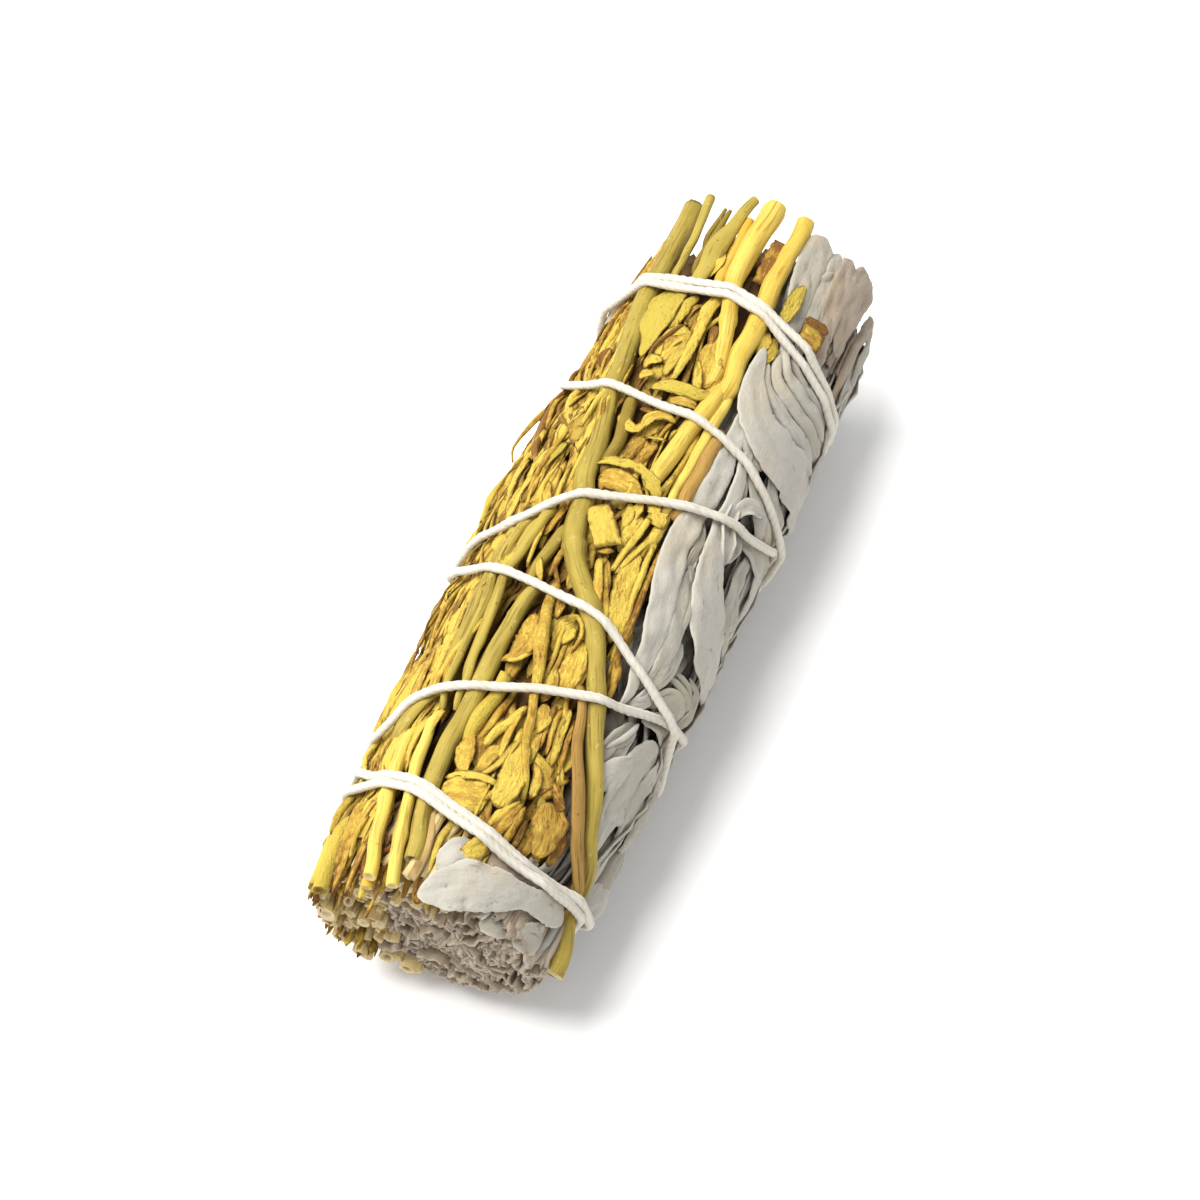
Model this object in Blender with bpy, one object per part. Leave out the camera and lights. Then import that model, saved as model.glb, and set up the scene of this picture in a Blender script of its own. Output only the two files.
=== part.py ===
"""Smudge stick: white sage and yellow flower stalks bound into a stick with cotton string.

The stick lies along X. Sizes below are in millimetres and angles in degrees: a point of the
surface is given by its place x along the stick and its angle round it, 0 on top, growing
towards -Y, which is the sage side. The other side, towards +Y, is the yellow one.

The middle is a few sprigs and bunches pressed together. Round them lies one layer of leaves,
flower heads and stems, side by side, and the string is drawn tight over that layer.
"""

import math

import bmesh
import bpy
import numpy as np
from mathutils import Vector
from mathutils.bvhtree import BVHTree

MM = 0.001
SEED = 41

# The stick's body.
MEAN_RADIUS = 16.0
SIDE_SWELL = 0.4        # the yellow side is this much fuller than the mean, the sage side less full
FULL_SIDE = -70.0       # where it is fullest
NEAR_TAPER = 2.9        # how much thinner the near end is than the middle
FAR_TAPER = 0.7
UNDERSIDE = 15.0        # from the axis to the flattened underside
SETTLING = 0.8          # how soft the corner is between the round sides and the underside

# The outer layer and the gaps between pieces.
LAYER = 3.0
GAP = 0.3
CORE_GAP = 0.5
CENTRE_RADIUS = 5.5
TURNED_IN = 0.5         # how far the ends of a leaf or head turn in

# How far apart the points are that describe each kind of piece.
ROW_LENGTH = 5.5
COLUMN_WIDTH = 11.0
BUNDLE_TURN = 18.0      # degrees round a bundle inside the stick
BUNDLE_RINGS = 7
CENTRE_SIDES = 8

# The string.
STRING_DIAMETER = 1.25
STRING_SIDES = 6
STRING_STEP = 3.0       # degrees between the points at which its height is worked out
STRING_SLACK = 0.2      # how far the finished run may depart from those points
CROSSING_REACH = 1.3    # a pass this near to an earlier one climbs over it
CROSSING_STEPS = 4      # how many string points to each side of a place are looked at
CLIMBS = 4              # as often as the string may cross in one place
MOST_PULLS = 600
PULL_ENOUGH = 1e-4
PROBES = (-1.3, -0.65, 0.0, 0.65, 1.3)  # across the string, in its own half widths

# Colours, as linear red, green and blue.
SAGE = (0.55, 0.53, 0.46)
SAGE_BROWN = (0.42, 0.34, 0.26)
YELLOW = (0.80, 0.56, 0.10)
OLIVE = (0.55, 0.46, 0.08)
STRAW = (0.74, 0.50, 0.14)
BROWN = (0.36, 0.24, 0.07)
CREAM = (0.85, 0.80, 0.66)

random_numbers = np.random.default_rng(SEED)


# ---------------------------------------------------------------- curves and the body's surface


def smooth(points):
    """A curve through points (x, value) that never swings past them."""
    xs, ys = np.array(points, float).T
    steps = np.diff(ys) / np.diff(xs)
    slopes = np.zeros(len(xs))
    slopes[0], slopes[-1] = steps[0], steps[-1]
    for i in range(1, len(xs) - 1):
        if steps[i - 1] * steps[i] > 0:
            slopes[i] = 2 * steps[i - 1] * steps[i] / (steps[i - 1] + steps[i])

    def value(x):
        x = min(max(x, xs[0]), xs[-1])
        i = min(int(np.searchsorted(xs, x, side="right")) - 1, len(xs) - 2)
        span = xs[i + 1] - xs[i]
        t = (x - xs[i]) / span
        return (
            (1 + 2 * t) * (1 - t) ** 2 * ys[i]
            + t * (1 - t) ** 2 * span * slopes[i]
            + t * t * (3 - 2 * t) * ys[i + 1]
            + t * t * (t - 1) * span * slopes[i + 1]
        )

    return value


def body_radius(x, angle):
    """How far the stick's surface is from its axis."""
    side = MEAN_RADIUS + SIDE_SWELL * math.cos(math.radians(angle - FULL_SIDE))
    taper = (NEAR_TAPER if x < 0 else FAR_TAPER) * (x / 50) ** 2
    radius = side - taper
    down = -math.cos(math.radians(angle))
    nearly_sideways = 0.5
    if down < nearly_sideways:
        return radius
    flat = UNDERSIDE / down
    overlap = max(SETTLING - abs(radius - flat), 0) / SETTLING
    return min(radius, flat) - overlap * overlap * SETTLING / 4


def place(x, angle, radius):
    """A point from its place along the stick, its angle round it and its distance from the axis."""
    turn = math.radians(angle)
    return Vector((x, -radius * math.sin(turn), radius * math.cos(turn)))


def degrees_across(width, radius):
    return math.degrees(width / radius)


def room_beside(curve, x, width):
    """The angle that keeps a piece the given width away from a curve, however steep it runs."""
    slope = math.radians(curve(x + 0.5) - curve(x - 0.5)) * MEAN_RADIUS  # over 1 mm
    return degrees_across(width, MEAN_RADIUS) * math.sqrt(1 + slope * slope)


# ---------------------------------------------------------------- objects and materials


def clear_scene():
    for obj in list(bpy.data.objects):
        bpy.data.objects.remove(obj, do_unlink=True)


def material(name, colour, roughness):
    mat = bpy.data.materials.new(name)
    mat.use_nodes = True
    shader = mat.node_tree.nodes["Principled BSDF"]
    shader.inputs["Base Color"].default_value = (*colour, 1.0)
    shader.inputs["Roughness"].default_value = roughness
    shader.inputs["Metallic"].default_value = 0.0
    return mat


def solid(name, points, faces, colour, roughness=0.85, crease=50.0):
    """An object made from points in millimetres."""
    mesh = bpy.data.meshes.new(name)
    mesh.from_pydata([tuple(Vector(p) * MM) for p in points], [], faces)
    build = bmesh.new()
    build.from_mesh(mesh)
    bmesh.ops.recalc_face_normals(build, faces=build.faces)
    build.to_mesh(mesh)
    build.free()
    mesh.materials.append(material(name, colour, roughness))
    mesh.shade_smooth()
    mesh.set_sharp_from_angle(angle=math.radians(crease))
    obj = bpy.data.objects.new(name, mesh)
    bpy.context.scene.collection.objects.link(obj)
    return obj


# ---------------------------------------------------------------- leaves and flower heads


# Heights across a piece of the outer layer, from one edge to the other.
LEAF = ((0.0, -0.9), (0.22, 0.25), (0.5, -0.25), (0.78, 0.25), (1.0, -0.9))
FOLDED = ((0.0, -0.8), (0.15, 0.2), (0.3, -0.5), (0.5, 0.35), (0.7, -0.4), (0.85, 0.3), (1.0, -0.8))
HEAD = ((0.0, -1.0), (0.2, 0.0), (0.5, 0.3), (0.8, 0.0), (1.0, -1.0))
LEVEL = ((0.0, -0.5), (0.15, 0.0), (0.5, 0.0), (0.85, 0.0), (1.0, -0.5))


def layer_piece(
    name, ends, low, high, colour, section=LEAF, tips=(0.35, 0.35), blunt=0.35, lean=(0, 0), crumple=0.0
):
    """A leaf or flower head in the outer layer, between two curves that say where its sides lie.

    tips are the parts of its length over which it narrows at each end, to blunt times its width,
    and lean is how far each end slants from one side to the other.
    """
    x0, x1 = ends
    middle = (x0 + x1) / 2
    rows = max(3, math.ceil((x1 - x0) / ROW_LENGTH))
    columns = max(len(section) - 1, math.ceil((high(middle) - low(middle)) / COLUMN_WIDTH))
    height = smooth(section)
    top, bottom = [], []
    for j in range(rows + 1):
        along = j / rows
        near_end = min(1.0, along / tips[0], (1 - along) / tips[1])
        width = blunt + (1 - blunt) * math.sqrt(1 - (1 - near_end) ** 2)
        for i in range(columns + 1):
            across = i / columns
            slant = lean[0] + (lean[1] - lean[0]) * along
            x = x0 + (x1 - x0) * along + slant * (across - 0.5)
            first = low(x) + room_beside(low, x, GAP)
            last = high(x) - room_beside(high, x, GAP)
            angle = (first + last) / 2 + (last - first) / 2 * width * (2 * across - 1)
            radius = body_radius(x, angle)
            rise = height(across)
            inside = 0 < i < columns and 0 < j < rows
            if inside:
                rise += crumple * random_numbers.uniform(-1, 1)
            if j in (0, rows):
                rise -= TURNED_IN
            top.append(place(x, angle, radius + rise))
            bottom.append(place(x, angle, radius - LAYER))
    return solid(name, *closed_sheet(top, bottom, rows, columns), colour)


def closed_sheet(top, bottom, rows, columns):
    """The points and faces of a solid between two grids of points."""
    wide = columns + 1
    count = len(top)
    faces = []
    for j in range(rows):
        for i in range(columns):
            a = j * wide + i
            faces.append((a, a + 1, a + 1 + wide, a + wide))
            faces.append((count + a, count + a + wide, count + a + 1 + wide, count + a + 1))
    rim = list(range(columns))
    rim += [j * wide + columns for j in range(rows)]
    rim += [rows * wide + i for i in range(columns, 0, -1)]
    rim += [j * wide for j in range(rows, 0, -1)]
    for a, b in zip(rim, rim[1:] + rim[:1]):
        faces.append((b, a, count + a, count + b))
    return top + bottom, faces


# ---------------------------------------------------------------- stems


class Stem:
    """A stem in the outer layer, given by the angle at which it lies at each place x."""

    def __init__(self, name, points, radius, colour, flat=1.0, proud=0.2, lift=((-60, 0), (60, 0))):
        self.name = name
        self.start, self.end = points[0][0], points[-1][0]
        self.angle = smooth(points)
        self.radius = radius
        self.flat = flat
        self.proud = proud
        self.lift = smooth(lift)
        self.colour = colour

    def height(self, x):
        """The distance of the stem's middle from the axis."""
        angle = self.angle(x)
        return body_radius(x, angle) + self.proud + self.lift(x) - self.radius * self.flat

    def beside(self, side):
        """The curve along one side of the stem, for the piece that lies there."""

        def value(x):
            reach = self.height(x)
            slope = math.radians(self.angle(x + 0.5) - self.angle(x - 0.5)) * reach
            room = self.radius * math.sqrt(1 + slope * slope)
            return self.angle(x) + side * degrees_across(room, reach)

        return value

    def build(self, sides=6):
        count = max(3, math.ceil((self.end - self.start) / ROW_LENGTH))
        places = np.linspace(self.start, self.end, count + 1)
        centres = [place(x, self.angle(x), self.height(x)) for x in places]
        points, faces = tube(centres, self.radius, sides, self.flat)
        return solid(self.name, points, faces, self.colour, 0.7)


def tube(centres, radius, sides, flat=1.0):
    """The points and faces of a closed tube. flat is its height for its width."""
    count = len(centres)
    points = []
    for k, centre in enumerate(centres):
        run = (centres[min(k + 1, count - 1)] - centres[max(k - 1, 0)]).normalized()
        outward = Vector((0, centre.y, centre.z))
        outward = (outward - run * outward.dot(run)).normalized()
        sideways = run.cross(outward)
        for i in range(sides):
            turn = 2 * math.pi * (i + 0.5) / sides
            across = sideways * (math.sin(turn) * radius)
            points.append(centre + outward * (math.cos(turn) * radius * flat) + across)
    faces = [tuple(range(sides))[::-1], tuple(range((count - 1) * sides, count * sides))]
    for k in range(count - 1):
        for i in range(sides):
            a, b = k * sides + i, k * sides + (i + 1) % sides
            faces.append((a, b, b + sides, a + sides))
    return points, faces


# ---------------------------------------------------------------- the middle of the stick


def joined_rings(name, rings, colour):
    """A solid whose skin runs from ring to ring."""
    size = len(rings[0])
    points = [point for ring in rings for point in ring]
    faces = [tuple(range(size)), tuple(range(len(points) - size, len(points)))[::-1]]
    for k in range(len(rings) - 1):
        for i in range(size):
            a, b = k * size + i, k * size + (i + 1) % size
            faces.append((b, a, a + size, b + size))
    return solid(name, points, faces, colour)


def centre_bundle(name, ends, colour):
    """The round sprig in the middle of the stick."""
    turns = [360 * i / CENTRE_SIDES for i in range(CENTRE_SIDES)]
    places = np.linspace(*ends, BUNDLE_RINGS)
    return joined_rings(name, [[place(x, turn, CENTRE_RADIUS) for turn in turns] for x in places], colour)


def core_bundle(name, angles, ends, colour):
    """A sprig or bunch inside the stick: a wedge of it that reaches from end to end."""
    first, last = angles
    inner = CENTRE_RADIUS + GAP
    arc = max(3, math.ceil((last - first) / BUNDLE_TURN))
    rings = []
    for x in np.linspace(*ends, BUNDLE_RINGS):
        outside, inside = [], []
        for i in range(arc + 1):
            angle = first + (last - first) * i / arc
            outer = body_radius(x, angle) - LAYER - CORE_GAP
            for radius, side in ((outer, outside), (inner, inside)):
                inward = degrees_across(GAP / 2, radius) * (1 - 2 * i / arc)
                side.append(place(x, angle + inward, radius))
        rings.append(outside + inside[::-1])
    return joined_rings(name, rings, colour)


# ---------------------------------------------------------------- the string


# The string's place x at each angle, counted on from turn to turn. It starts and ends low on
# the sage side of the near end, climbs to the far end and comes back over itself.
STRING_ROUTE = smooth((
    # twice round the near end, the first time
    (-240, -44.8), (-200, -45.2), (-120, -44.2), (-60, -42.4), (-40, -41.9), (-20, -42.3),
    (0, -43.1), (20, -43.9), (40, -44.3), (60, -44.0), (80, -43.4), (100, -42.7),
    # up to the far end
    (150, -41.6), (200, -39.5), (250, -36.7), (300, -33.7), (322, -29.3), (345, -27.4),
    (370, -24.7), (400, -21.5), (425, -18.0), (445, -15.9), (480, -13.2), (540, -10.2),
    (600, -7.6), (640, -5.6), (660, -4.8), (680, -4.0), (700, -0.2), (720, 2.4), (740, 4.7),
    (760, 6.9), (780, 8.8), (800, 11.6), (820, 15.0), (850, 17.8), (900, 22.6), (960, 29.4),
    # twice round it
    (1000, 35.4), (1020, 37.2), (1040, 37.0), (1060, 37.1), (1080, 37.4), (1100, 36.5),
    (1120, 35.4), (1140, 34.4), (1160, 33.9), (1210, 34.1), (1260, 34.4), (1320, 35.0),
    (1360, 35.5), (1380, 35.8), (1400, 35.6), (1420, 35.7), (1440, 36.0), (1460, 35.0),
    (1480, 33.9), (1500, 32.9), (1520, 32.2),
    # and back
    (1570, 31.5), (1620, 30.5), (1680, 28.3), (1720, 24.4), (1740, 20.8), (1760, 18.9),
    (1780, 18.0), (1800, 17.0), (1820, 16.6), (1840, 16.2), (1860, 15.2), (1880, 14.9),
    (1900, 13.6), (1950, 8.5), (2000, 2.5), (2050, -3.5), (2080, -7.2), (2100, -9.9),
    (2120, -11.0), (2140, -12.0), (2160, -13.0), (2180, -14.0), (2200, -15.8), (2220, -17.0),
    (2240, -18.0), (2290, -23.5), (2340, -29.0), (2400, -35.5), (2440, -39.2), (2460, -40.5),
    (2480, -40.4), (2500, -40.8), (2520, -41.6), (2540, -42.4), (2560, -42.8), (2580, -42.5),
    (2600, -41.9), (2635, -40.9),
))
STRING_START, STRING_END = -240, 2635


def surface_of(objects):
    """A tree of everything the string lies on, to measure its height."""
    points, faces = [], []
    for obj in objects:
        first = len(points)
        points += [vertex.co / MM for vertex in obj.data.vertices]
        faces += [[first + i for i in polygon.vertices] for polygon in obj.data.polygons]
    return BVHTree.FromPolygons(points, faces)


def height_below(surface, x, angle):
    """How far out the highest thing under the string is, all across the string's width."""
    start_radius = 2 * MEAN_RADIUS
    half = STRING_DIAMETER / 2
    highest = body_radius(x, angle) - 1.0
    for share in PROBES:
        for turn in (-1.0, 1.0):
            start = place(x + share * half, angle + turn, start_radius)
            inward = place(0, angle + turn, 1).normalized() * -1
            hit = surface.ray_cast(start, inward, start_radius)
            if hit[0] is not None:
                highest = max(highest, math.hypot(hit[0].y, hit[0].z))
    return highest


def pull_tight(angles, heights):
    """Raises every point that lies inside the line between its neighbours, as a taut string does."""
    tight = np.array(heights)
    turns = np.radians(angles)
    for _ in range(MOST_PULLS):
        before, after = tight[:-2], tight[2:]
        left, right = turns[1:-1] - turns[:-2], turns[2:] - turns[1:-1]
        chord = before * after * np.sin(left + right)
        chord /= before * np.sin(left) + after * np.sin(right)
        raised = np.maximum(tight[1:-1], chord)
        if np.abs(raised - tight[1:-1]).max() < PULL_ENOUGH:
            break
        tight[1:-1] = raised
    return tight


def crossings(angles, route):
    """Pairs of places where a later pass of the string lies across an earlier one."""
    found = []
    turn = round(360 / STRING_STEP)
    for k in range(turn // 2, len(angles)):
        for earlier in range(k - turn, -1, -turn):
            for shift in range(-CROSSING_STEPS, CROSSING_STEPS + 1):
                if not 0 <= earlier + shift < len(angles):
                    continue
                along = math.radians(shift * STRING_STEP) * MEAN_RADIUS
                if math.hypot(route[k] - route[earlier + shift], along) < CROSSING_REACH:
                    found.append((k, earlier + shift))
    return found


def thinned(points, slack):
    """The fewest of the points that keep within slack of them all."""
    if len(points) < 3:
        return points
    run = points[-1] - points[0]
    length = max(run.length, 1e-9)
    far = [(p - points[0]).cross(run).length / length for p in points[1:-1]]
    if run.length < 1.0:
        far = [(p - points[0]).length for p in points[1:-1]]
    worst = max(range(len(far)), key=far.__getitem__)
    if far[worst] <= slack:
        return [points[0], points[-1]]
    return thinned(points[: worst + 2], slack)[:-1] + thinned(points[worst + 1 :], slack)


def string_centres(surface):
    """The string's middle line: tight over everything beneath it, each later pass over earlier ones."""
    angles = np.arange(STRING_START, STRING_END + STRING_STEP / 2, STRING_STEP)
    route = [STRING_ROUTE(angle) for angle in angles]
    half = STRING_DIAMETER / 2
    heights = [
        height_below(surface, x, angle) + half + GAP
        for x, angle in zip(route, angles)
    ]
    tight = pull_tight(angles, heights)
    over = crossings(angles, route)
    for _ in range(CLIMBS):
        for later, earlier in over:
            climb = tight[earlier] + STRING_DIAMETER + GAP
            heights[later] = max(heights[later], climb)
        tight = pull_tight(angles, heights)
    line = [place(x, angle, radius) for x, angle, radius in zip(route, angles, tight)]
    return thinned(line, STRING_SLACK)


# ---------------------------------------------------------------- the pieces


def level(angle):
    return smooth(((-60, angle), (60, angle)))


MAIN_STEM = Stem(
    "main_stem",
    (
        (-51, 80), (-45, 72), (-40, 64), (-35, 54), (-30, 43.5), (-25, 33.5), (-20, 24.5),
        (-15, 11.5), (-10, -2), (-5, -9), (0, -13.7), (5, -17.2), (10, -20), (15, -23),
        (20, -26), (25, -28.5), (30, -31), (35, -34), (40, -35.7), (49.5, -39),
    ),
    1.6, OLIVE, lift=((-51, 1.7), (-44, 0.3), (-38, 0), (60, 0)),
)
HOLLOW_STEM = Stem(
    "hollow_stem", ((-51, -5), (-45, -9.6), (-40, -14), (-35, -14.7), (-20, -15), (-12, -13)), 1.4, OLIVE
)
THIN_STEM_1 = Stem("thin_stem_1", ((-33, -27.5), (-25, -25.5), (-10, -25), (-3, -23)), 0.9, OLIVE)
THIN_STEM_2 = Stem("thin_stem_2", ((-35, -39.5), (-30, -35.5), (-25, -33.5), (-4, -31.5)), 0.9, OLIVE)
NEAR_STEM_1 = Stem(
    "near_stem_1", ((-53.5, -25), (-50, -28), (-45, -33.5), (-40, -38), (-36.5, -40)), 1.3, YELLOW
)
NEAR_STEM_2 = Stem("near_stem_2", ((-54, -14), (-50, -16), (-45, -22), (-40, -27), (-35, -29)), 0.9, YELLOW)
BROWN_STEM = Stem(
    "brown_stem", ((-44, 56), (-40, 49), (-35, 39), (-30, 28.5), (-26.5, 21.5)), 1.2, BROWN, flat=0.8
)
FAR_STEM_1 = Stem("far_stem_1", ((21.8, 4), (26, 4), (30, 3), (35, 1.5), (40, 0.5), (50.5, 0.5)), 1.5, YELLOW)
FAR_STEM_2 = Stem(
    "far_stem_2", ((6, 7.5), (9, 9), (15, 12.5), (21, 16), (30, 15.5), (40, 14.5), (50.5, 15.5)), 1.4, YELLOW
)
FAR_STEM_3 = Stem("far_stem_3", ((37.5, -25.3), (44, -26.5), (50, -27.5)), 0.7, OLIVE)
FAR_STEM_4 = Stem("far_stem_4", ((37.5, -17.3), (44, -18), (50.5, -18.5)), 0.9, OLIVE)
FAR_STEM_5 = Stem("far_stem_5", ((37.5, -8.3), (44, -9), (49.5, -9.5)), 0.8, OLIVE)
LOWER_STEM = Stem("lower_stem", ((3, 23), (16.5, 23)), 1.0, BROWN, flat=0.9)
SIDE_STEM = Stem("side_stem", ((-52, -97), (-20, -95), (20, -98), (46, -97)), 1.3, STRAW)
STEMS = (
    MAIN_STEM, HOLLOW_STEM, THIN_STEM_1, THIN_STEM_2, NEAR_STEM_1, NEAR_STEM_2, BROWN_STEM,
    FAR_STEM_1, FAR_STEM_2, FAR_STEM_3, FAR_STEM_4, FAR_STEM_5, LOWER_STEM, SIDE_STEM,
)

# Where neighbouring pieces of the outer layer meet.
SAGE_EDGE = smooth((
    (-22, 36), (-18, 34), (-14, 31), (-10, 28), (-5, 26.5), (0, 27), (3, 27.5), (10, 28),
    (15, 27.5), (20, 24), (25, 23), (30, 22), (50, 21),
))
LONG_LEAF_EDGE = smooth((
    (-21, 39.5), (-15, 41), (-10, 39.5), (-5, 37), (0, 35.5), (5, 36), (10, 38), (15, 37),
))
LENS_LEAF_EDGE = smooth((
    (-20, 45), (-12, 48.5), (-8, 47), (-4, 43.5), (1, 37), (5, 36.2), (10, 38.2), (15, 37.2),
))
BROAD_LEAF_EDGE = smooth(((-13, 88), (-8, 82), (-4, 70), (-1, 59), (2, 51), (6, 46), (15, 43)))
NEAR_LEAF_EDGE = smooth(((-47, 85), (-40, 78), (-36, 76), (-30, 70), (-25, 64), (-19, 60)))
HIDDEN_EDGE = smooth(((-50, 99), (-44, 97), (-36, 92), (-25, 88), (50, 88)))
LEAFY_EDGE = smooth(((21, -10), (28, -12), (35, -14)))
END_LEAF_TOP = smooth(((-54.5, 3), (-52, 3), (-50, 8), (-48, 15), (-46, 27), (-45, 34)))
END_LEAF_LOW = smooth(((-54.5, 22), (-52, 36), (-50, 46), (-48, 52), (-45, 54)))
RIDGE = -63.0           # the top edge of the pieces on the far side of the yellow half
BACK = 220.0            # where the yellow and the sage meet underneath


def build_flower_heads():
    """The yellow heads and bracts between the stems."""
    heads = (
        ("flower_head_near", (-44.4, -36.3), HOLLOW_STEM.beside(1), BROWN_STEM.beside(-1)),
        ("flower_head_middle", (-35.7, -26.3), HOLLOW_STEM.beside(1), BROWN_STEM.beside(-1)),
        ("flower_head_pointed", (-25.6, -14), HOLLOW_STEM.beside(1), MAIN_STEM.beside(-1)),
        ("flower_head_low", (-19, -9.8), MAIN_STEM.beside(1), SAGE_EDGE),
        ("torn_petals", (-9.2, 2), MAIN_STEM.beside(1), SAGE_EDGE),
        ("curled_petals", (6, 21), MAIN_STEM.beside(1), FAR_STEM_2.beside(-1)),
        ("leafy_bract", (21.6, 35), MAIN_STEM.beside(1), LEAFY_EDGE),
        ("far_petals", (21.6, 35), LEAFY_EDGE, FAR_STEM_1.beside(-1)),
        ("ridge_flowers_1", (-49, -37.4), level(RIDGE), NEAR_STEM_1.beside(-1)),
        ("ridge_flowers_2", (-36.7, -20), level(RIDGE), THIN_STEM_2.beside(-1)),
        ("ridge_flowers_3", (-19.4, -3.2), level(RIDGE), THIN_STEM_2.beside(-1)),
        ("ridge_flowers_4", (-2.6, 8), level(RIDGE), MAIN_STEM.beside(-1)),
        ("ridge_flowers_5", (8.6, 20), level(RIDGE), MAIN_STEM.beside(-1)),
        ("ridge_flowers_6", (20.6, 36), level(RIDGE), MAIN_STEM.beside(-1)),
        ("ridge_flowers_7", (36.6, 48), level(RIDGE + 4), MAIN_STEM.beside(-1)),
        ("back_flowers_1", (-48, 47), SIDE_STEM.beside(1), level(RIDGE)),
        ("back_flowers_2", (-47, 47), level(BACK - 360), SIDE_STEM.beside(-1)),
    )
    for name, ends, low, high in heads:
        layer_piece(name, ends, low, high, YELLOW, HEAD, (0.12, 0.12), 0.8, crumple=0.45)


def build_sage_leaves():
    """The sage leaves of the outer layer, from the top of the stick down and under."""
    layer_piece("end_leaf", (-54.5, -44.9), END_LEAF_TOP, END_LEAF_LOW, SAGE, LEAF, (0.3, 0.3), 0.5)
    layer_piece("long_leaf", (-20.5, 14.6), SAGE_EDGE, LONG_LEAF_EDGE, SAGE, LEAF, (0.3, 0.15), 0.4)
    layer_piece("lens_leaf", (-19.5, 0.5), LONG_LEAF_EDGE, LENS_LEAF_EDGE, SAGE, HEAD, (0.3, 0.3), 0.4)
    layer_piece("broad_leaf", (-12.6, 14.4), LENS_LEAF_EDGE, BROAD_LEAF_EDGE, SAGE, LEAF, (0.15, 0.2), 0.6)
    layer_piece("curled_leaf", (-0.5, 8), BROAD_LEAF_EDGE, HIDDEN_EDGE, SAGE, FOLDED, (0.2, 0.2), 0.6)
    layer_piece("narrow_leaf", (8.6, 14.4), BROAD_LEAF_EDGE, HIDDEN_EDGE, SAGE, LEAF, (0.2, 0.2), 0.6)
    layer_piece("draped_leaf", (15.2, 23.5), SAGE_EDGE, HIDDEN_EDGE, SAGE, HEAD, (0.2, 0.2), 0.8, (0, -8))
    layer_piece(
        "folded_leaf", (24.1, 33.4), SAGE_EDGE, HIDDEN_EDGE, SAGE, FOLDED, (0.2, 0.2), 0.8, (-8, -1.6)
    )
    layer_piece("far_leaf_1", (34.6, 49), SAGE_EDGE, level(40), SAGE, LEAF, (0.2, 0.2), 0.7, (-0.6, 0))
    layer_piece("far_leaf_2", (34.6, 49.5), level(40), level(62), SAGE_BROWN, LEAF, (0.2, 0.2), 0.7)
    layer_piece("far_leaf_3", (34, 48), level(62), HIDDEN_EDGE, SAGE, LEAF, (0.2, 0.2), 0.7)
    layer_piece(
        "near_leaf_1", (-37, -20.2), MAIN_STEM.beside(1), NEAR_LEAF_EDGE, SAGE, FOLDED, (0.3, 0.2), 0.5
    )
    layer_piece("near_leaf_2", (-19.4, -13.1), LENS_LEAF_EDGE, HIDDEN_EDGE, SAGE, FOLDED, (0.2, 0.2), 0.8)
    layer_piece("near_leaf_3", (-46, -20.1), NEAR_LEAF_EDGE, HIDDEN_EDGE, SAGE, LEAF, (0.3, 0.2), 0.5)
    layer_piece("side_leaf_1", (-49, 1), HIDDEN_EDGE, level(113), SAGE, LEAF, (0.1, 0.15), 0.7)
    layer_piece("side_leaf_2", (1.6, 48), HIDDEN_EDGE, level(113), SAGE, LEAF, (0.15, 0.1), 0.7)
    layer_piece("side_leaf_3", (-48, 48), level(113), level(139), SAGE, LEAF, (0.08, 0.08), 0.7)
    layer_piece("side_leaf_4", (-47.5, 47.5), level(139), level(166), SAGE, LEAF, (0.08, 0.08), 0.7)
    layer_piece("under_leaf_1", (-47, -8.8), level(166), level(194), SAGE, LEVEL, (0.15, 0.1), 0.7)
    layer_piece("under_leaf_2", (2.7, 47), level(166), level(194), SAGE, LEVEL, (0.1, 0.15), 0.7)
    layer_piece("under_leaf_3", (-47.5, 47.5), level(194), level(BACK), SAGE, LEAF, (0.08, 0.08), 0.7)


def build_core():
    """The sprigs and bunches in the middle, which show at both ends."""
    centre_bundle("centre_sprig", (-51, 47), SAGE)
    core_bundle("inner_stalks_1", (-140, -58), (-49.6, 48), STRAW)
    core_bundle("inner_stalks_2", (-58, 24), (-50.4, 48.6), STRAW)
    core_bundle("inner_sprig_1", (24, 90), (-50.2, 47.4), SAGE)
    core_bundle("inner_sprig_2", (90, 155), (-49.2, 46.6), SAGE_BROWN)
    core_bundle("inner_sprig_3", (155, 220), (-48.4, 47), SAGE)


def build_resting_leaf(floor):
    """The leaf under the middle of the stick, bulging to a flat face between two turns of string."""
    shoulder, edge = UNDERSIDE + 0.3, UNDERSIDE - 0.6
    places = (-8.3, -7.2, -6.2, 0.2, 1.2, 2.1)
    depths = (edge, shoulder, floor, floor, shoulder, edge)
    turns = (-12.5, -11.5, -9.5, 0.0, 9.5, 11.5, 12.5)
    levels = (edge, shoulder, floor, floor, floor, shoulder, edge)
    top, bottom = [], []
    for x, depth in zip(places, depths):
        for turn, most in zip(turns, levels):
            angle = 180 + turn
            top.append(place(x, angle, min(depth, most) / math.cos(math.radians(turn))))
            bottom.append(place(x, angle, body_radius(x, angle) - LAYER))
    return solid("resting_leaf", *closed_sheet(top, bottom, len(places) - 1, len(turns) - 1), SAGE)


def stand_on_floor():
    """Moves the stick so that its box stands on z = 0 with the middle of its base at the origin."""
    points = [vertex.co for obj in bpy.data.objects for vertex in obj.data.vertices]
    low = Vector([min(p[axis] for p in points) for axis in range(3)])
    high = Vector([max(p[axis] for p in points) for axis in range(3)])
    stick = bpy.data.objects.new("smudge_stick", None)
    stick.location = (-(low.x + high.x) / 2, -(low.y + high.y) / 2, -low.z)
    for obj in list(bpy.data.objects):
        if obj is not stick:
            obj.parent = stick
    bpy.context.scene.collection.objects.link(stick)


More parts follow.
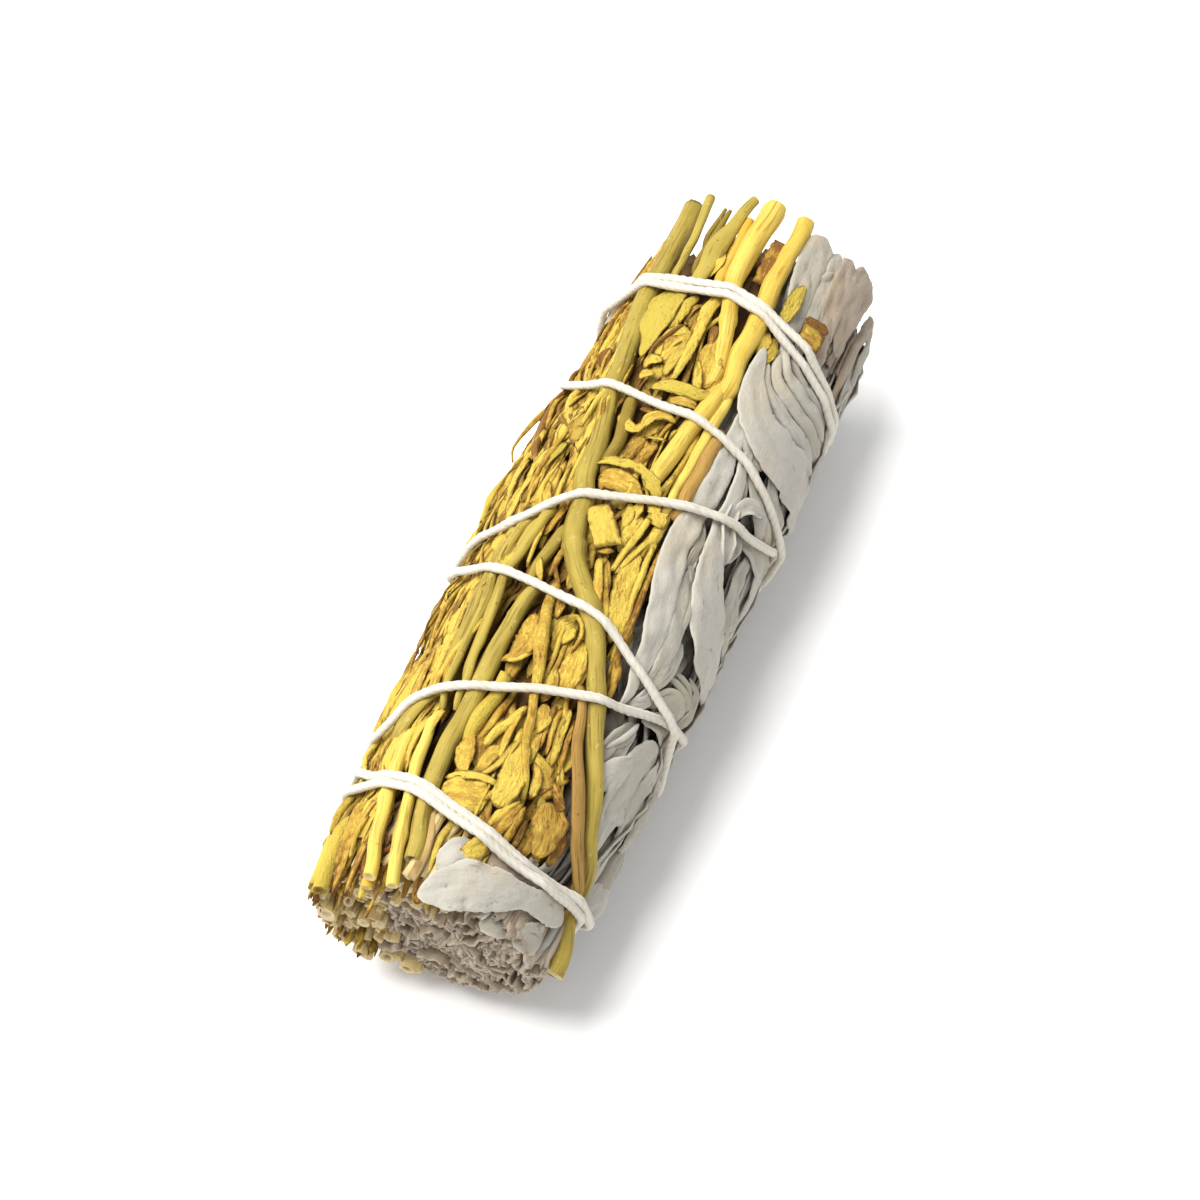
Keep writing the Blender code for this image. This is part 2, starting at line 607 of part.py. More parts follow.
def main():
    clear_scene()
    build_core()
    for stem in STEMS:
        stem.build()
    build_flower_heads()
    build_sage_leaves()
    centres = string_centres(surface_of(list(bpy.data.objects)))
    points, faces = tube(centres, STRING_DIAMETER / 2, STRING_SIDES)
    solid("string", points, faces, CREAM, 0.9, 80.0)
    build_resting_leaf(-min(p.z for p in points))
    stand_on_floor()


main()
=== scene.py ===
"""The looks of a smudge stick: white sage and yellow flower stalks bound with cotton string.

A place on the stick is given on its skin, as if that were unrolled: x along the stick in
millimetres, the turn round it in degrees (0 on top, growing towards the sage side) and the
height over the skin in millimetres. Leaves, petals and stalks are shaped on that flat skin,
which is then rolled back round the stick.
"""

import logging
import math
from dataclasses import dataclass, field, replace
from enum import Enum
from typing import Any, Callable, Iterable, Sequence

import bpy
import numpy as np
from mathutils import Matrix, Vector


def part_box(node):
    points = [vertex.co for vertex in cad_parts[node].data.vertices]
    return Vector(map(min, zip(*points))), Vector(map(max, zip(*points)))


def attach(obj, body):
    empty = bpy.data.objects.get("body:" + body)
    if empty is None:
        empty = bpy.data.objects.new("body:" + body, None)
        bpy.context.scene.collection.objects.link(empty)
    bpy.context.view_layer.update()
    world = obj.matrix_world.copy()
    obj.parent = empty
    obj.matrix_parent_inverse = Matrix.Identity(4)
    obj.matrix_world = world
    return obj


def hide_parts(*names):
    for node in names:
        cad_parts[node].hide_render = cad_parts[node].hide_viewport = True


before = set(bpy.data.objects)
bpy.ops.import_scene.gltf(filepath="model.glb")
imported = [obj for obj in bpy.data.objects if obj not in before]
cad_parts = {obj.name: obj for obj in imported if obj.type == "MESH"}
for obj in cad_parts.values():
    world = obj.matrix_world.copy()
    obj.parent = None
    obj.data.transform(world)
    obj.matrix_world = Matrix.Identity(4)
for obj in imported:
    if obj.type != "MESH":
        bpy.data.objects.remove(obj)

MM = 0.001
ROLL = 16.0             # the radius at which the skin is unrolled, in millimetres
STUDIO_LIGHT = 1.35     # how much brighter than a white room the studio makes the stick
SPAN = 60.0             # how far along the stick its maps reach from the middle, in millimetres
LOG = logging.getLogger("smudge_stick")

Line = Sequence[Sequence[float]]
Area = tuple[float, float, float, float]    # x from and to, and turn from and to
Colour = Widths = tuple[float, ...]


# ---- curves and noise


def spline(values: Line, places: np.ndarray) -> np.ndarray:
    """Reads a smooth curve that passes evenly through the given values.

    Args:
        values: the values or points that the curve passes through.
        places: where to read it, from 0 at the first value to 1 at the last.

    Returns:
        The curve's value at each place.
    """
    knots = np.array(values, float)
    if len(knots) == 1:
        return np.repeat(knots, len(places), axis=0)
    first, last = 2 * knots[:1] - knots[1:2], 2 * knots[-1:] - knots[-2:-1]
    knots = np.concatenate([first, knots, last])
    at = np.clip(places, 0, 1) * (len(knots) - 3)
    start = np.minimum(at.astype(int), len(knots) - 4)
    t = (at - start).reshape(-1, *[1] * (knots.ndim - 1))
    a, b, c, d = (knots[start + i] for i in range(4))
    return b + 0.5 * t * (c - a + t * (2 * a - 5 * b + 4 * c - d + t * (3 * (b - c) + d - a)))


def even_line(points: Line, step: float, fewest: int = 4) -> np.ndarray:
    """Points at even steps along a smooth line on the skin.

    Args:
        points: the (x, turn) or (x, turn, height) points that the line passes through.
        step: about how far apart the new points are, in millimetres.
        fewest: the least number of steps.

    Returns:
        An array of (x, arc, height) rows, in millimetres.
    """
    knots = np.array([(x, math.radians(turn) * ROLL, sum(height)) for x, turn, *height in points], float)
    fine = spline(knots, np.linspace(0, 1, 16 * len(knots)))
    count = max(fewest, math.ceil(run_along(fine)[-1] / step))
    return even_points(fine, count + 1)


def unit(vectors: np.ndarray) -> np.ndarray:
    """The vectors' directions, each one long."""
    return vectors / np.maximum(np.linalg.norm(vectors, axis=-1, keepdims=True), 1e-9)


def run_along(points: np.ndarray) -> np.ndarray:
    """How far along a line each of its points is."""
    return np.concatenate([[0], np.cumsum(np.linalg.norm(np.diff(points, axis=0), axis=1))])


def even_points(points: np.ndarray, count: int) -> np.ndarray:
    """So many points at even steps along a line."""
    run = run_along(points)
    even = np.linspace(0, run[-1], count)
    return np.stack([np.interp(even, run, points[:, i]) for i in range(3)], axis=1)


def tube_axes(centres: np.ndarray, outward: np.ndarray) -> tuple[np.ndarray, np.ndarray, np.ndarray]:
    """The directions ahead, outward and sideways at each point of a tube's middle line."""
    ahead = unit(np.gradient(centres, axis=0))
    outward = unit(outward - ahead * (outward * ahead).sum(axis=1, keepdims=True))
    return ahead, outward, np.cross(ahead, outward)


def stack_grain(shape: Sequence[int], *parts: np.ndarray | float) -> np.ndarray:
    """A piece's grain from its parts along, across and of its own."""
    return np.stack([np.broadcast_to(part, shape[:2]) for part in parts], axis=-1)


def soft_step(value: np.ndarray) -> np.ndarray:
    """Rises smoothly from 0 to 1 as value does."""
    t = np.clip(value, 0, 1)
    return t * t * (3 - 2 * t)


def swell(points: np.ndarray, size: float, seed: int) -> np.ndarray:
    """Smooth noise from about -1 to 1.

    Args:
        points: where to read it, an array whose last axis holds the coordinates.
        size: how far apart its bumps are, in the points' own unit.
        seed: which noise of this kind it is.

    Returns:
        The noise at each point.
    """
    dice = np.random.default_rng(seed)
    total = np.zeros(points.shape[:-1])
    waves = 7
    for _ in range(waves):
        heading = dice.normal(size=points.shape[-1])
        heading *= dice.uniform(0.6, 1.5) / np.linalg.norm(heading)
        total += np.sin(points @ heading * (2 * math.pi / size) + dice.uniform(0, 2 * math.pi))
    return total / math.sqrt(waves)


# ---- the stick's skin


@dataclass(frozen=True)
class Skin:
    """The stick's outer surface, and where it lies in the frame."""

    axis: tuple[float, float, float]
    mean: float = 16.0
    side_swell: float = 0.4
    full_side: float = -70.0
    near_taper: float = 2.9
    far_taper: float = 0.7
    underside: float = 15.0
    settling: float = 0.8
    clearance: float = 0.05
    near_face: float = -50.0
    far_face: float = 47.5

    @classmethod
    def in_frame(cls) -> "Skin":
        """Finds the stick's axis from the sprig that lies in its middle."""
        low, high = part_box("centre_sprig")
        middle = (low + high) / 2 / MM
        sprig_offset = 2.0
        return cls((middle.x + sprig_offset, middle.y, middle.z))

    def radius(self, x: np.ndarray, turn: np.ndarray) -> np.ndarray:
        """The skin's distance from the axis, for places x and turns in radians."""
        side = self.mean + self.side_swell * np.cos(turn - math.radians(self.full_side))
        side = side - np.where(x < 0, self.near_taper, self.far_taper) * (x / 50) ** 2
        down = -np.cos(turn)
        flat = self.underside / np.maximum(down, 0.5)
        overlap = np.maximum(self.settling - np.abs(side - flat), 0) / self.settling
        settled = np.minimum(side, flat) - overlap**2 * self.settling / 4
        return np.where(down < 0.5, side, settled)

    def roll(self, places: np.ndarray) -> np.ndarray:
        """Rolls (x, arc, height) places back round the stick.

        Args:
            places: the places, in millimetres, on the last axis.

        Returns:
            Points in the frame, in millimetres.
        """
        x, arc, height = np.moveaxis(places, -1, 0)
        turn = arc / ROLL
        reach = self.radius(x, turn) + height
        return self.at_axis(np.stack([x, -reach * np.sin(turn), reach * np.cos(turn)], axis=-1))

    def at_axis(self, points: np.ndarray) -> np.ndarray:
        """Moves points given from the axis into the frame, and keeps them off the floor."""
        moved = points + np.array(self.axis)
        moved[..., 2] = np.maximum(moved[..., 2], self.clearance)
        return moved

    def depth(self, points: np.ndarray) -> np.ndarray:
        """How deep the frame's points lie under the skin or behind the nearer end face."""
        x, y, z = np.moveaxis(points - np.array(self.axis), -1, 0)
        under = self.radius(x, np.arctan2(-y, z)) - np.hypot(y, z)
        behind = np.minimum(x - self.near_face, self.far_face - x)
        return np.minimum(under, behind)

    def outward(self, points: np.ndarray) -> np.ndarray:
        """The direction straight away from the axis at each of the frame's points."""
        away = points - np.array(self.axis)
        away[..., 0] = 0
        return unit(away)


# ---- meshes


class Heap:
    """A mesh in the making: the solids of one piece, with what its finish needs to know.

    grain runs along and across each leaf or stalk in millimetres, tone says which colour it
    leans to, rim is 1 on edges and cuts, and crease is 1 in the bottom of folds, where the finishes paint
    shade.
    """

    def __init__(self, skin: Skin, seed: int) -> None:
        """Starts an empty heap on a skin, with random numbers of its own."""
        self.skin = skin
        self.dice = np.random.default_rng(seed)
        self.parts: dict[str, list[np.ndarray]] = {
            name: [] for name in ("points", "grain", "tone", "rim", "crease", "quads", "tris")
        }
        self.count = 0

    def add(self, points: np.ndarray, quads: np.ndarray, tris: np.ndarray, **facts: np.ndarray) -> None:
        """Adds one solid.

        Args:
            points: its points in the frame, in millimetres.
            quads: its four-sided faces, as point numbers.
            tris: its three-sided faces.
            facts: grain, tone, rim and crease, for every point or for all of them at once.
        """
        total = len(points)
        self.parts["points"].append(points)
        self.parts["quads"].append(quads + self.count)
        self.parts["tris"].append(tris + self.count)
        self.parts["grain"].append(np.broadcast_to(facts["grain"], (total, 3)))
        for name in ("tone", "rim", "crease"):
            self.parts[name].append(np.broadcast_to(facts[name], (total,)))
        self.count += total

    def sheet(
        self, middle: np.ndarray, thick: np.ndarray | float, tone: float, crease: np.ndarray | float = 0.0,
        rim_width: float = 0.5,
    ) -> None:
        """Adds a closed sheet of some thickness round a grid of points.

        Args:
            middle: the sheet's middle, rows by columns of points in the frame.
            thick: its thickness, for all of it or for each point.
            tone: which colour it leans to.
            crease: how deep in a fold each point is.
            rim_width: how wide the edge is that counts as its rim, in millimetres.
        """
        rows, columns = middle.shape[:2]
        along, across = np.gradient(middle, axis=0), np.gradient(middle, axis=1)
        half = np.broadcast_to(thick, (rows, columns))[..., None] / 2 * unit(np.cross(across, along))
        side = unit(across)
        bulge = np.linalg.norm(half, axis=-1, keepdims=True) * 0.8
        left = middle[:, :1] - side[:, :1] * bulge[:, :1]
        right = middle[:, -1:] + side[:, -1:] * bulge[:, -1:]
        top, bottom = middle + half, (middle - half)[:, ::-1]
        loops = np.concatenate([top, right, bottom, left], axis=1)
        size = loops.shape[1]
        quads = grid_faces(rows, size)
        near, far = cap_faces(columns, 0), cap_faces(columns, (rows - 1) * size)
        quads = np.concatenate([quads, near[0][:, ::-1], far[0]])
        tris = np.concatenate([near[1][:, ::-1], far[1]])

        steps = np.linalg.norm(np.diff(middle, axis=0), axis=-1).mean(axis=1)
        run = np.concatenate([[0], np.cumsum(steps)])
        spans = np.linalg.norm(np.diff(middle, axis=1), axis=-1)
        reach = np.concatenate([np.zeros((rows, 1)), np.cumsum(spans, axis=1)], axis=1)
        to_side = np.minimum(reach, reach[:, -1:] - reach)
        to_end = np.minimum(run, run[-1] - run)[:, None]
        rim = np.clip(1 - np.minimum(to_side, to_end) / rim_width, 0, 1)
        grain = stack_grain(reach.shape, run[:, None], reach - reach[:, -1:] / 2, self.dice.uniform(0, 900))

        def around(values: np.ndarray) -> np.ndarray:
            """Copies values on the grid to the closed loops."""
            return np.concatenate([values, values[:, -1:], values[:, ::-1], values[:, :1]], axis=1)

        self.add(
            loops.reshape(-1, 3), quads, tris, grain=around(grain).reshape(-1, 3), tone=np.array(tone),
            rim=around(rim).ravel(), crease=around(np.broadcast_to(crease, (rows, columns))).ravel(),
        )

    def rings(self, rings: np.ndarray, tone: float, **facts: np.ndarray) -> None:
        """Adds a closed tube through rings of points.

        Args:
            rings: rings by sides of points in the frame, with an even number of sides.
            tone: which colour it leans to.
            facts: grain, rim and crease, for each ring or for each point.
        """
        count, sides = rings.shape[:2]
        start = np.arange(sides // 2 - 1)
        cap = np.stack([start, start + 1, sides - 2 - start, sides - 1 - start], axis=1)
        quads = np.concatenate([grid_faces(count, sides)[:, ::-1], cap, cap[:, ::-1] + (count - 1) * sides])
        flat = {
            name: np.broadcast_to(value, (count, sides)).ravel()
            for name, value in facts.items()
            if name != "grain"
        }
        self.add(
            rings.reshape(-1, 3), quads, np.zeros((0, 3), int), grain=facts["grain"].reshape(-1, 3),
            tone=np.array(tone), **flat,
        )

    def stack(self, name: str) -> np.ndarray:
        """All of one of the heap's lists, as a single array."""
        return np.concatenate(self.parts[name])

    def finish(
        self, name: str, material: bpy.types.Material, nodes: Iterable[str], keep: float = 1.0
    ) -> bpy.types.Object:
        """Makes the heap into one piece of the stick.

        Args:
            name: the piece's name.
            material: its finish.
            nodes: the frame's nodes that it stands for.
            keep: the share of its faces that its shape needs.

        Returns:
            The piece.
        """
        points, quads, tris = self.stack("points"), self.stack("quads"), self.stack("tris")
        mesh = bpy.data.meshes.new(name)
        mesh.vertices.add(len(points))
        mesh.vertices.foreach_set("co", (points * MM).astype(np.float32).ravel())
        corners = np.concatenate([quads.ravel(), tris.ravel()])
        mesh.loops.add(len(corners))
        mesh.loops.foreach_set("vertex_index", corners.astype(np.int32))
        starts = np.concatenate([np.arange(len(quads)) * 4, len(quads) * 4 + np.arange(len(tris)) * 3])
        mesh.polygons.add(len(starts))
        mesh.polygons.foreach_set("loop_start", starts.astype(np.int32))
        mesh.update(calc_edges=True)
        mesh.shade_smooth()
        facts = {fact: self.stack(fact) for fact in ("tone", "rim", "crease")}
        # depth: how deep each point lies under the skin, which the finishes paint as shade, darker the deeper
        # it is
        facts["depth"] = self.skin.depth(points)
        for fact, values in facts.items():
            layer = mesh.attributes.new(fact, "FLOAT", "POINT")
            layer.data.foreach_set("value", values.astype(np.float32))
        layer = mesh.attributes.new("grain", "FLOAT_VECTOR", "POINT")
        layer.data.foreach_set("vector", self.stack("grain").astype(np.float32).ravel())
        mesh.materials.append(material)
        piece = bpy.data.objects.new(name, mesh)
        bpy.context.scene.collection.objects.link(piece)
        if keep < 1:
            self.thin_out(piece, keep)
        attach(piece, "root")
        if nodes:
            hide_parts(*nodes)
        LOG.info("%s: %d faces", name, len(piece.data.polygons))
        return piece

    def thin_out(self, piece: bpy.types.Object, keep: float) -> None:
        """Merges the faces of a piece that its shape can do without, down to a share of them."""
        thin = piece.modifiers.new("thin", "DECIMATE")
        thin.ratio = keep
        graph = bpy.context.evaluated_depsgraph_get()
        slim = bpy.data.meshes.new_from_object(
            piece.evaluated_get(graph), preserve_all_data_layers=True, depsgraph=graph
        )
        full = piece.data
        piece.modifiers.clear()
        piece.data = slim
        bpy.data.meshes.remove(full)


def grid_faces(rows: int, columns: int) -> np.ndarray:
    """The faces of a grid whose last column joins its first."""
    a = (np.arange(rows - 1)[:, None] * columns + np.arange(columns)).ravel()
    b = (np.arange(rows - 1)[:, None] * columns + (np.arange(columns) + 1) % columns).ravel()
    return np.stack([a, b, b + columns, a + columns], axis=1)


def cap_faces(columns: int, first: int) -> tuple[np.ndarray, np.ndarray]:
    """The faces that close one end of a sheet's loop, whose points start at number first."""
    top = first + np.arange(columns)
    bottom = first + 2 * columns - np.arange(columns)
    quads = np.stack([top[:-1], top[1:], bottom[1:], bottom[:-1]], axis=1)
    right, left = first + columns, first + 2 * columns + 1
    return quads, np.array([(top[-1], right, bottom[-1]), (left, top[0], bottom[0])])


# ---- leaves, petals and strips


class Bend(Enum):
    """How a blade bends from one edge to the other: where, by how many degrees, over what part of it."""

    FLAT = ()
    VALLEY = ((0.5, -60, 0.3),)
    SHARP_VALLEY = ((0.45, -80, 0.2),)
    RIDGE = ((0.5, 40, 0.4),)
    SHARP_RIDGE = ((0.5, 60, 0.15),)
    GUTTER = ((0.5, -45, 0.4),)
    CUPPED = ((0.5, -50, 0.4),)
    EASY = ((0.5, -30, 0.4),)
    SLIGHT = ((0.5, -20, 0.4),)
    BOWED = ((0.5, -16, 0.6),)
    WAVY = ((0.3, 30, 0.3), (0.7, -35, 0.3))
    ZIGZAG = ((0.3, 50, 0.3), (0.75, -60, 0.3))
    EDGES_UNDER = ((0.04, -70, 0.1), (0.96, -70, 0.1))
    EDGES_UP = ((0.1, 70, 0.2), (0.9, 70, 0.2))
    ROLLED = ((0.12, -120, 0.2), (0.5, -60, 0.5), (0.88, -120, 0.2))
    PLEATED = ((0.08, -80, 0.12), (0.32, 75, 0.14), (0.55, -80, 0.16), (0.75, 85, 0.14), (0.93, -90, 0.12))
    FOLDED = ((0.05, -80, 0.12), (0.4, 70, 0.12), (0.52, -80, 0.12), (0.95, -80, 0.12))
    TROUGH = ((0.06, 50, 0.12), (0.3, 45, 0.3), (0.7, 45, 0.3), (0.94, 50, 0.12))


@dataclass(frozen=True)
class Blade:
    """One leaf, petal or strip, laid on the skin. Its ends droop. The defaults are a leaf's."""

    line: Line
    widths: Widths
    bends: Bend = Bend.EDGES_UNDER
    folded: tuple[float, ...] = (1.0,)
    tilt: tuple[float, ...] = (0.0,)
    tone: float = 0.5
    thick: float = 0.36
    crumple: float = 0.15
    crumple_size: float = 2.2
    crease: float = 0.24
    crease_size: float = 2.2
    ragged: float = 0.015
    step: float = 0.6
    columns: int = 18
    rim: float = 0.5
    raised: float = 0.35
    droop: float = 0.45
    twist: float = 4.0
    sharp: float = 0.0
    blunt: float = 1.0

    def lay(self, heap: Heap, press: "Press | None" = None) -> None:
        """Adds the blade to a heap.

        Args:
            heap: the piece that it belongs to.
            press: where the string presses it in, if it is soft.
        """
        seed = int(heap.dice.integers(1 << 30))
        line = even_line(self.line, self.step)
        rows = len(line)
        places = np.linspace(0, 1, rows)
        width = np.maximum(spline(self.widths, places), 0.12)
        run = places * len(line) * self.step
        ends = np.minimum(run, run[::-1])
        if self.blunt:
            width *= 0.25 + 0.75 * np.sqrt(1 - (1 - np.clip(ends / self.blunt, 0, 1)) ** 2)
        width *= 1 + self.ragged * swell(run[:, None], 1.6, seed) * 2
        ahead = unit(np.gradient(line[:, :2], axis=0))
        sideways = np.stack([-ahead[:, 1], ahead[:, 0]], axis=1)

        strength = spline(self.folded, places)
        u, v = self.section(strength)
        twist = self.twist * swell(run[:, None], 5.0, seed + 4)
        tilt = np.radians(spline(self.tilt, places) + twist)[:, None]
        u, v = u * width[:, None], v * width[:, None]
        u, v = u * np.cos(tilt) - v * np.sin(tilt), u * np.sin(tilt) + v * np.cos(tilt)

        across = np.linspace(-0.5, 0.5, self.columns) * width[:, None]
        flat = np.stack([np.broadcast_to(run[:, None], across.shape), across], axis=-1)
        stretched = flat * np.array([0.28, 1.0])
        # fold is 1 in the bottoms of creases: it sinks them, and the finishes paint shade there
        fold = np.clip(1 - np.abs(swell(stretched, self.crease_size, seed + 1)) * 3.2, 0, 1) ** 2
        fold *= 0.5 + 0.5 * np.clip(swell(flat, self.crease_size * 2, seed + 2), -1, 1)
        waves = swell(flat * np.array([0.4, 1.0]), self.crumple_size, seed + 3)
        waves = self.sharp * (1 - 2 * np.abs(waves)) + (1 - self.sharp) * waves
        lift = waves * self.crumple - fold * self.crease
        edge = 1 - np.abs(np.linspace(-1, 1, self.columns)) ** 6
        v = v + lift * (0.4 + 0.6 * edge)

        grid = np.empty((rows, self.columns, 3))
        grid[..., 0] = line[:, :1] + sideways[:, :1] * u
        grid[..., 1] = line[:, 1:2] + sideways[:, 1:2] * u
        grid[..., 2] = line[:, 2:] + v + self.raised - self.droop * (2 * places[:, None] - 1) ** 2
        if press:
            grid[..., 2] -= press.depth(grid[..., 0], grid[..., 1])
        thick = self.thick * (0.55 + 0.45 * edge) * np.ones((rows, 1))
        thick = thick * (0.45 + 0.55 * np.clip(ends[:, None] / 1.5, 0, 1))
        heap.sheet(heap.skin.roll(grid), thick, self.tone, fold, self.rim)

    def section(self, strength: np.ndarray) -> tuple[np.ndarray, np.ndarray]:
        """The blade's bent line across it, one unit wide, for each row's strength of folding."""
        s = np.linspace(0, 1, self.columns)
        heading = np.zeros(self.columns)
        middle = 0.0
        for at, turn, reach in self.bends.value:
            heading += turn * soft_step((s - at) / reach + 0.5)
            middle += turn * float(soft_step(np.array((0.5 - at) / reach + 0.5)))
        angle = np.radians(heading - middle) * strength[:, None]
        step = 1 / (self.columns - 1)
        du = (np.cos(angle[:, 1:]) + np.cos(angle[:, :-1])) / 2 * step
        dv = (np.sin(angle[:, 1:]) + np.sin(angle[:, :-1])) / 2 * step
        u = np.concatenate([np.zeros((len(angle), 1)), np.cumsum(du, axis=1)], axis=1)
        v = np.concatenate([np.zeros((len(angle), 1)), np.cumsum(dv, axis=1)], axis=1)
        centre = self.columns // 2
        return u - u[:, -1:] / 2, v - v[:, centre : centre + 1]


PETAL = Blade(
    ((0, 0), (1, 0)), (1.0,), thick=0.12, crumple=0.13, crumple_size=2.4, crease=0.2, crease_size=1.2,
    ragged=0.025, step=0.45, columns=12, rim=0.2, raised=0.0, twist=7, sharp=0.6, blunt=0.7,
)


def leaf(line: Line, widths: Widths, tone: float, bends: Bend = Bend.EDGES_UNDER, **changes: Any) -> Blade:
    """A sage leaf: thick, felted and softly folded."""
    return Blade(line, widths, bends, tone=tone, **changes)


def petal(line: Line, widths: Widths, tone: float, bends: Bend = Bend.FLAT, **changes: Any) -> Blade:
    """A dry petal, bract or scrap: thin, papery and creased."""
    return replace(PETAL, line=line, widths=widths, tone=tone, bends=bends, **changes)


# ---- stalks


class Cut(Enum):
    """How a stalk ends."""

    HIDDEN = "hidden"
    SOLID = "solid"
    HOLLOW = "hollow"
    TORN = "torn"


# How far in from the stalk's side each ring of an end lies, how deep, whether it is a cut face,
# and how much painted shade it takes, in the hole of a hollow stem and the sunken middle of a cut.
END_RINGS = {
    Cut.HIDDEN: ((0.6, 0.25, 0.0, 0.0),),
    Cut.SOLID: ((0.97, 0.06, 0.3, 0), (0.88, 0.1, 1, 0), (0.55, -0.02, 1, 0.1), (0.42, -0.14, 1, 0.35)),
    Cut.HOLLOW: ((0.97, 0.06, 0.3, 0), (0.86, 0.08, 1, 0), (0.6, -0.05, 1, 0.2), (0.5, -2.2, 0.6, 1)),
    Cut.TORN: ((0.8, 0.5, 0.4, 0.0), (0.45, 0.9, 0.8, 0.0), (0.15, 1.3, 1.0, 0.0)),
}


@dataclass(frozen=True)
class Stalk:
    """A stem or twig, laid on the skin by its middle line. Its hidden ends sink in."""

    line: Line
    radii: Widths
    near_end: Cut = Cut.HIDDEN
    far_end: Cut = Cut.HIDDEN
    tone: float = 0.5
    flat: float = 1.0
    height: float = -0.35
    ridges: int = 7
    ridge_depth: float = 0.04
    wobble: float = 0.10
    knots: tuple[float, ...] = ()
    sides: int = 14
    step: float = 0.7

    def lay(self, heap: Heap, press: "Press | None" = None) -> None:
        """Adds the stalk to a heap, pressed in by the string if it is soft."""
        seed = int(heap.dice.integers(1 << 30))
        line = even_line(self.line, self.step)
        count = len(line)
        places = np.linspace(0, 1, count)
        run = places * count * self.step
        line[:, 1] += swell(run[:, None], 9.0, seed) * self.wobble
        line[:, 2] += swell(run[:, None], 7.0, seed + 1) * self.wobble * 0.5 + self.height
        for end, way in ((self.near_end, run), (self.far_end, run[::-1])):
            if end is Cut.HIDDEN:
                line[:, 2] -= 0.9 * np.clip(1 - way / 2.5, 0, 1) ** 2
        if press:
            line[:, 2] -= press.depth(line[:, 0], line[:, 1])
        centres = heap.skin.roll(line)
        radius = np.maximum(spline(self.radii, places), 0.05)
        for knot in self.knots:
            radius *= 1 + 0.22 * np.exp(-(((places - knot) * count * self.step) / 0.7) ** 2)
        ahead, outward, sideways = tube_axes(centres, heap.skin.outward(centres))

        turn = np.linspace(0, 2 * math.pi, self.sides, endpoint=False)
        shape = 1 + self.ridge_depth * np.cos(turn * self.ridges + heap.dice.uniform(0, 6))
        round_it = np.stack([np.cos(turn), np.sin(turn)], axis=1) * 1.5
        spots = stack_grain((count, self.sides), run[:, None] * 0.25, round_it[:, 0], round_it[:, 1])
        shape = shape + 0.06 * swell(spots, 2.0, seed + 2)
        reach = radius[:, None] * shape
        rings = (
            centres[:, None]
            + outward[:, None] * (np.cos(turn) * self.flat * reach)[..., None]
            + sideways[:, None] * (np.sin(turn) * reach)[..., None]
        )
        facts = [(run[i], 0.0, 0.0) for i in range(count)]
        near = self.end_rings(rings[0], centres[0], -ahead[0], radius[0], self.near_end, heap)
        far = self.end_rings(rings[-1], centres[-1], ahead[-1], radius[-1], self.far_end, heap)
        body = np.concatenate([near[0][::-1], rings, far[0]])
        marks = np.array(near[1][::-1] + facts + far[1])
        marks[: len(near[1]), 0] = 0
        marks[len(near[1]) + count :, 0] = run[-1]
        across = np.abs(turn - math.pi) * radius.mean()
        grain = stack_grain(body.shape, marks[:, :1], across, heap.dice.uniform(0, 900))
        heap.rings(body, self.tone, grain=grain, rim=marks[:, 1:2], crease=marks[:, 2:3])

    def end_rings(
        self, last: np.ndarray, centre: np.ndarray, ahead: np.ndarray, radius: float, cut: Cut, heap: Heap
    ) -> tuple[np.ndarray, list[tuple[float, float, float]]]:
        """The rings that close one end.

        Args:
            last: the ring at that end.
            centre: its middle.
            ahead: the direction out of the end.
            radius: the stalk's radius there.
            cut: how the stalk ends.
            heap: the piece that it belongs to, for its random numbers.

        Returns:
            The rings, and for each its place, rim and crease.
        """
        rings, facts = [], []
        slant = heap.dice.uniform(-0.15, 0.15, 3)
        for share, out, rim, crease in END_RINGS[cut]:
            arm = (last - centre) * share
            lean = (arm @ slant)[:, None] * ahead
            rough = heap.dice.uniform(-0.05, 0.05, (len(last), 1)) * ahead * radius
            rings.append(centre + arm + ahead * out * max(radius, 0.4) + lean + rough)
            facts.append((0.0, rim, crease))
        return np.array(rings), facts


def stalk(
    line: Line, radii: Widths, tone: float, near_end: Cut = Cut.HIDDEN, far_end: Cut = Cut.HIDDEN,
    **changes: Any,
) -> Stalk:
    """A stem or twig."""
    return Stalk(line, radii, near_end, far_end, tone, **changes)


def numbers(text: str) -> tuple[float, ...]:
    """The numbers in a bit of text, whole ones as such."""
    return tuple(float(word) if "." in word else int(word) for word in text.split())


def read_areas(text: str) -> dict[str, Area]:
    """Reads a table of names, each with its four numbers."""
    table = (row.partition(" ") for row in text.strip().splitlines())
    return {name: numbers(values) for name, _, values in table}


def read_table(make: Callable[..., Any], shapes: type[Enum], text: str) -> dict[str, tuple[Any, ...]]:
    """Reads a table of leaves, petals or stalks.

    A row without bars is a heading. Each row under it is one piece: the (x, turn) or (x, turn,
    height) points that it passes through, its widths or radii, its tone and shape, and last
    whatever else it has of its own. A row that ends with a comma or bar carries on below.

    Args:
        make: makes one piece from the values of its row.
        shapes: what its shape is one of.
        text: the table.

    Returns:
        The pieces under each heading.
    """
    table: dict[str, tuple[Any, ...]] = {}
    for row in text.replace(",\n", ",").replace("|\n", "|").strip().splitlines():
        if "|" not in row:
            heading = row
            table[heading] = ()
            continue
        line, widths, look, *rest = row.split("|")
        tone, *names = look.split()
        changes: dict[str, Any] = {}
        for change in "".join(rest).split(",") if rest else ():
            name, _, values = change.strip().partition(" ")
            changes[name] = numbers(values) if name in ("folded", "tilt", "knots") else numbers(values)[0]
        points = tuple(numbers(point) for point in line.split(","))
        piece = make(points, numbers(widths), *numbers(tone), *(shapes[name] for name in names), **changes)
        table[heading] += (piece,)
    return table


# ---- where the stems lie


class Rind(Enum):
    """Which finish a stem has."""

    OLIVE = "olive"
    YELLOW = "yellow"
    STRAW = "straw"
    BROWN = "brown"


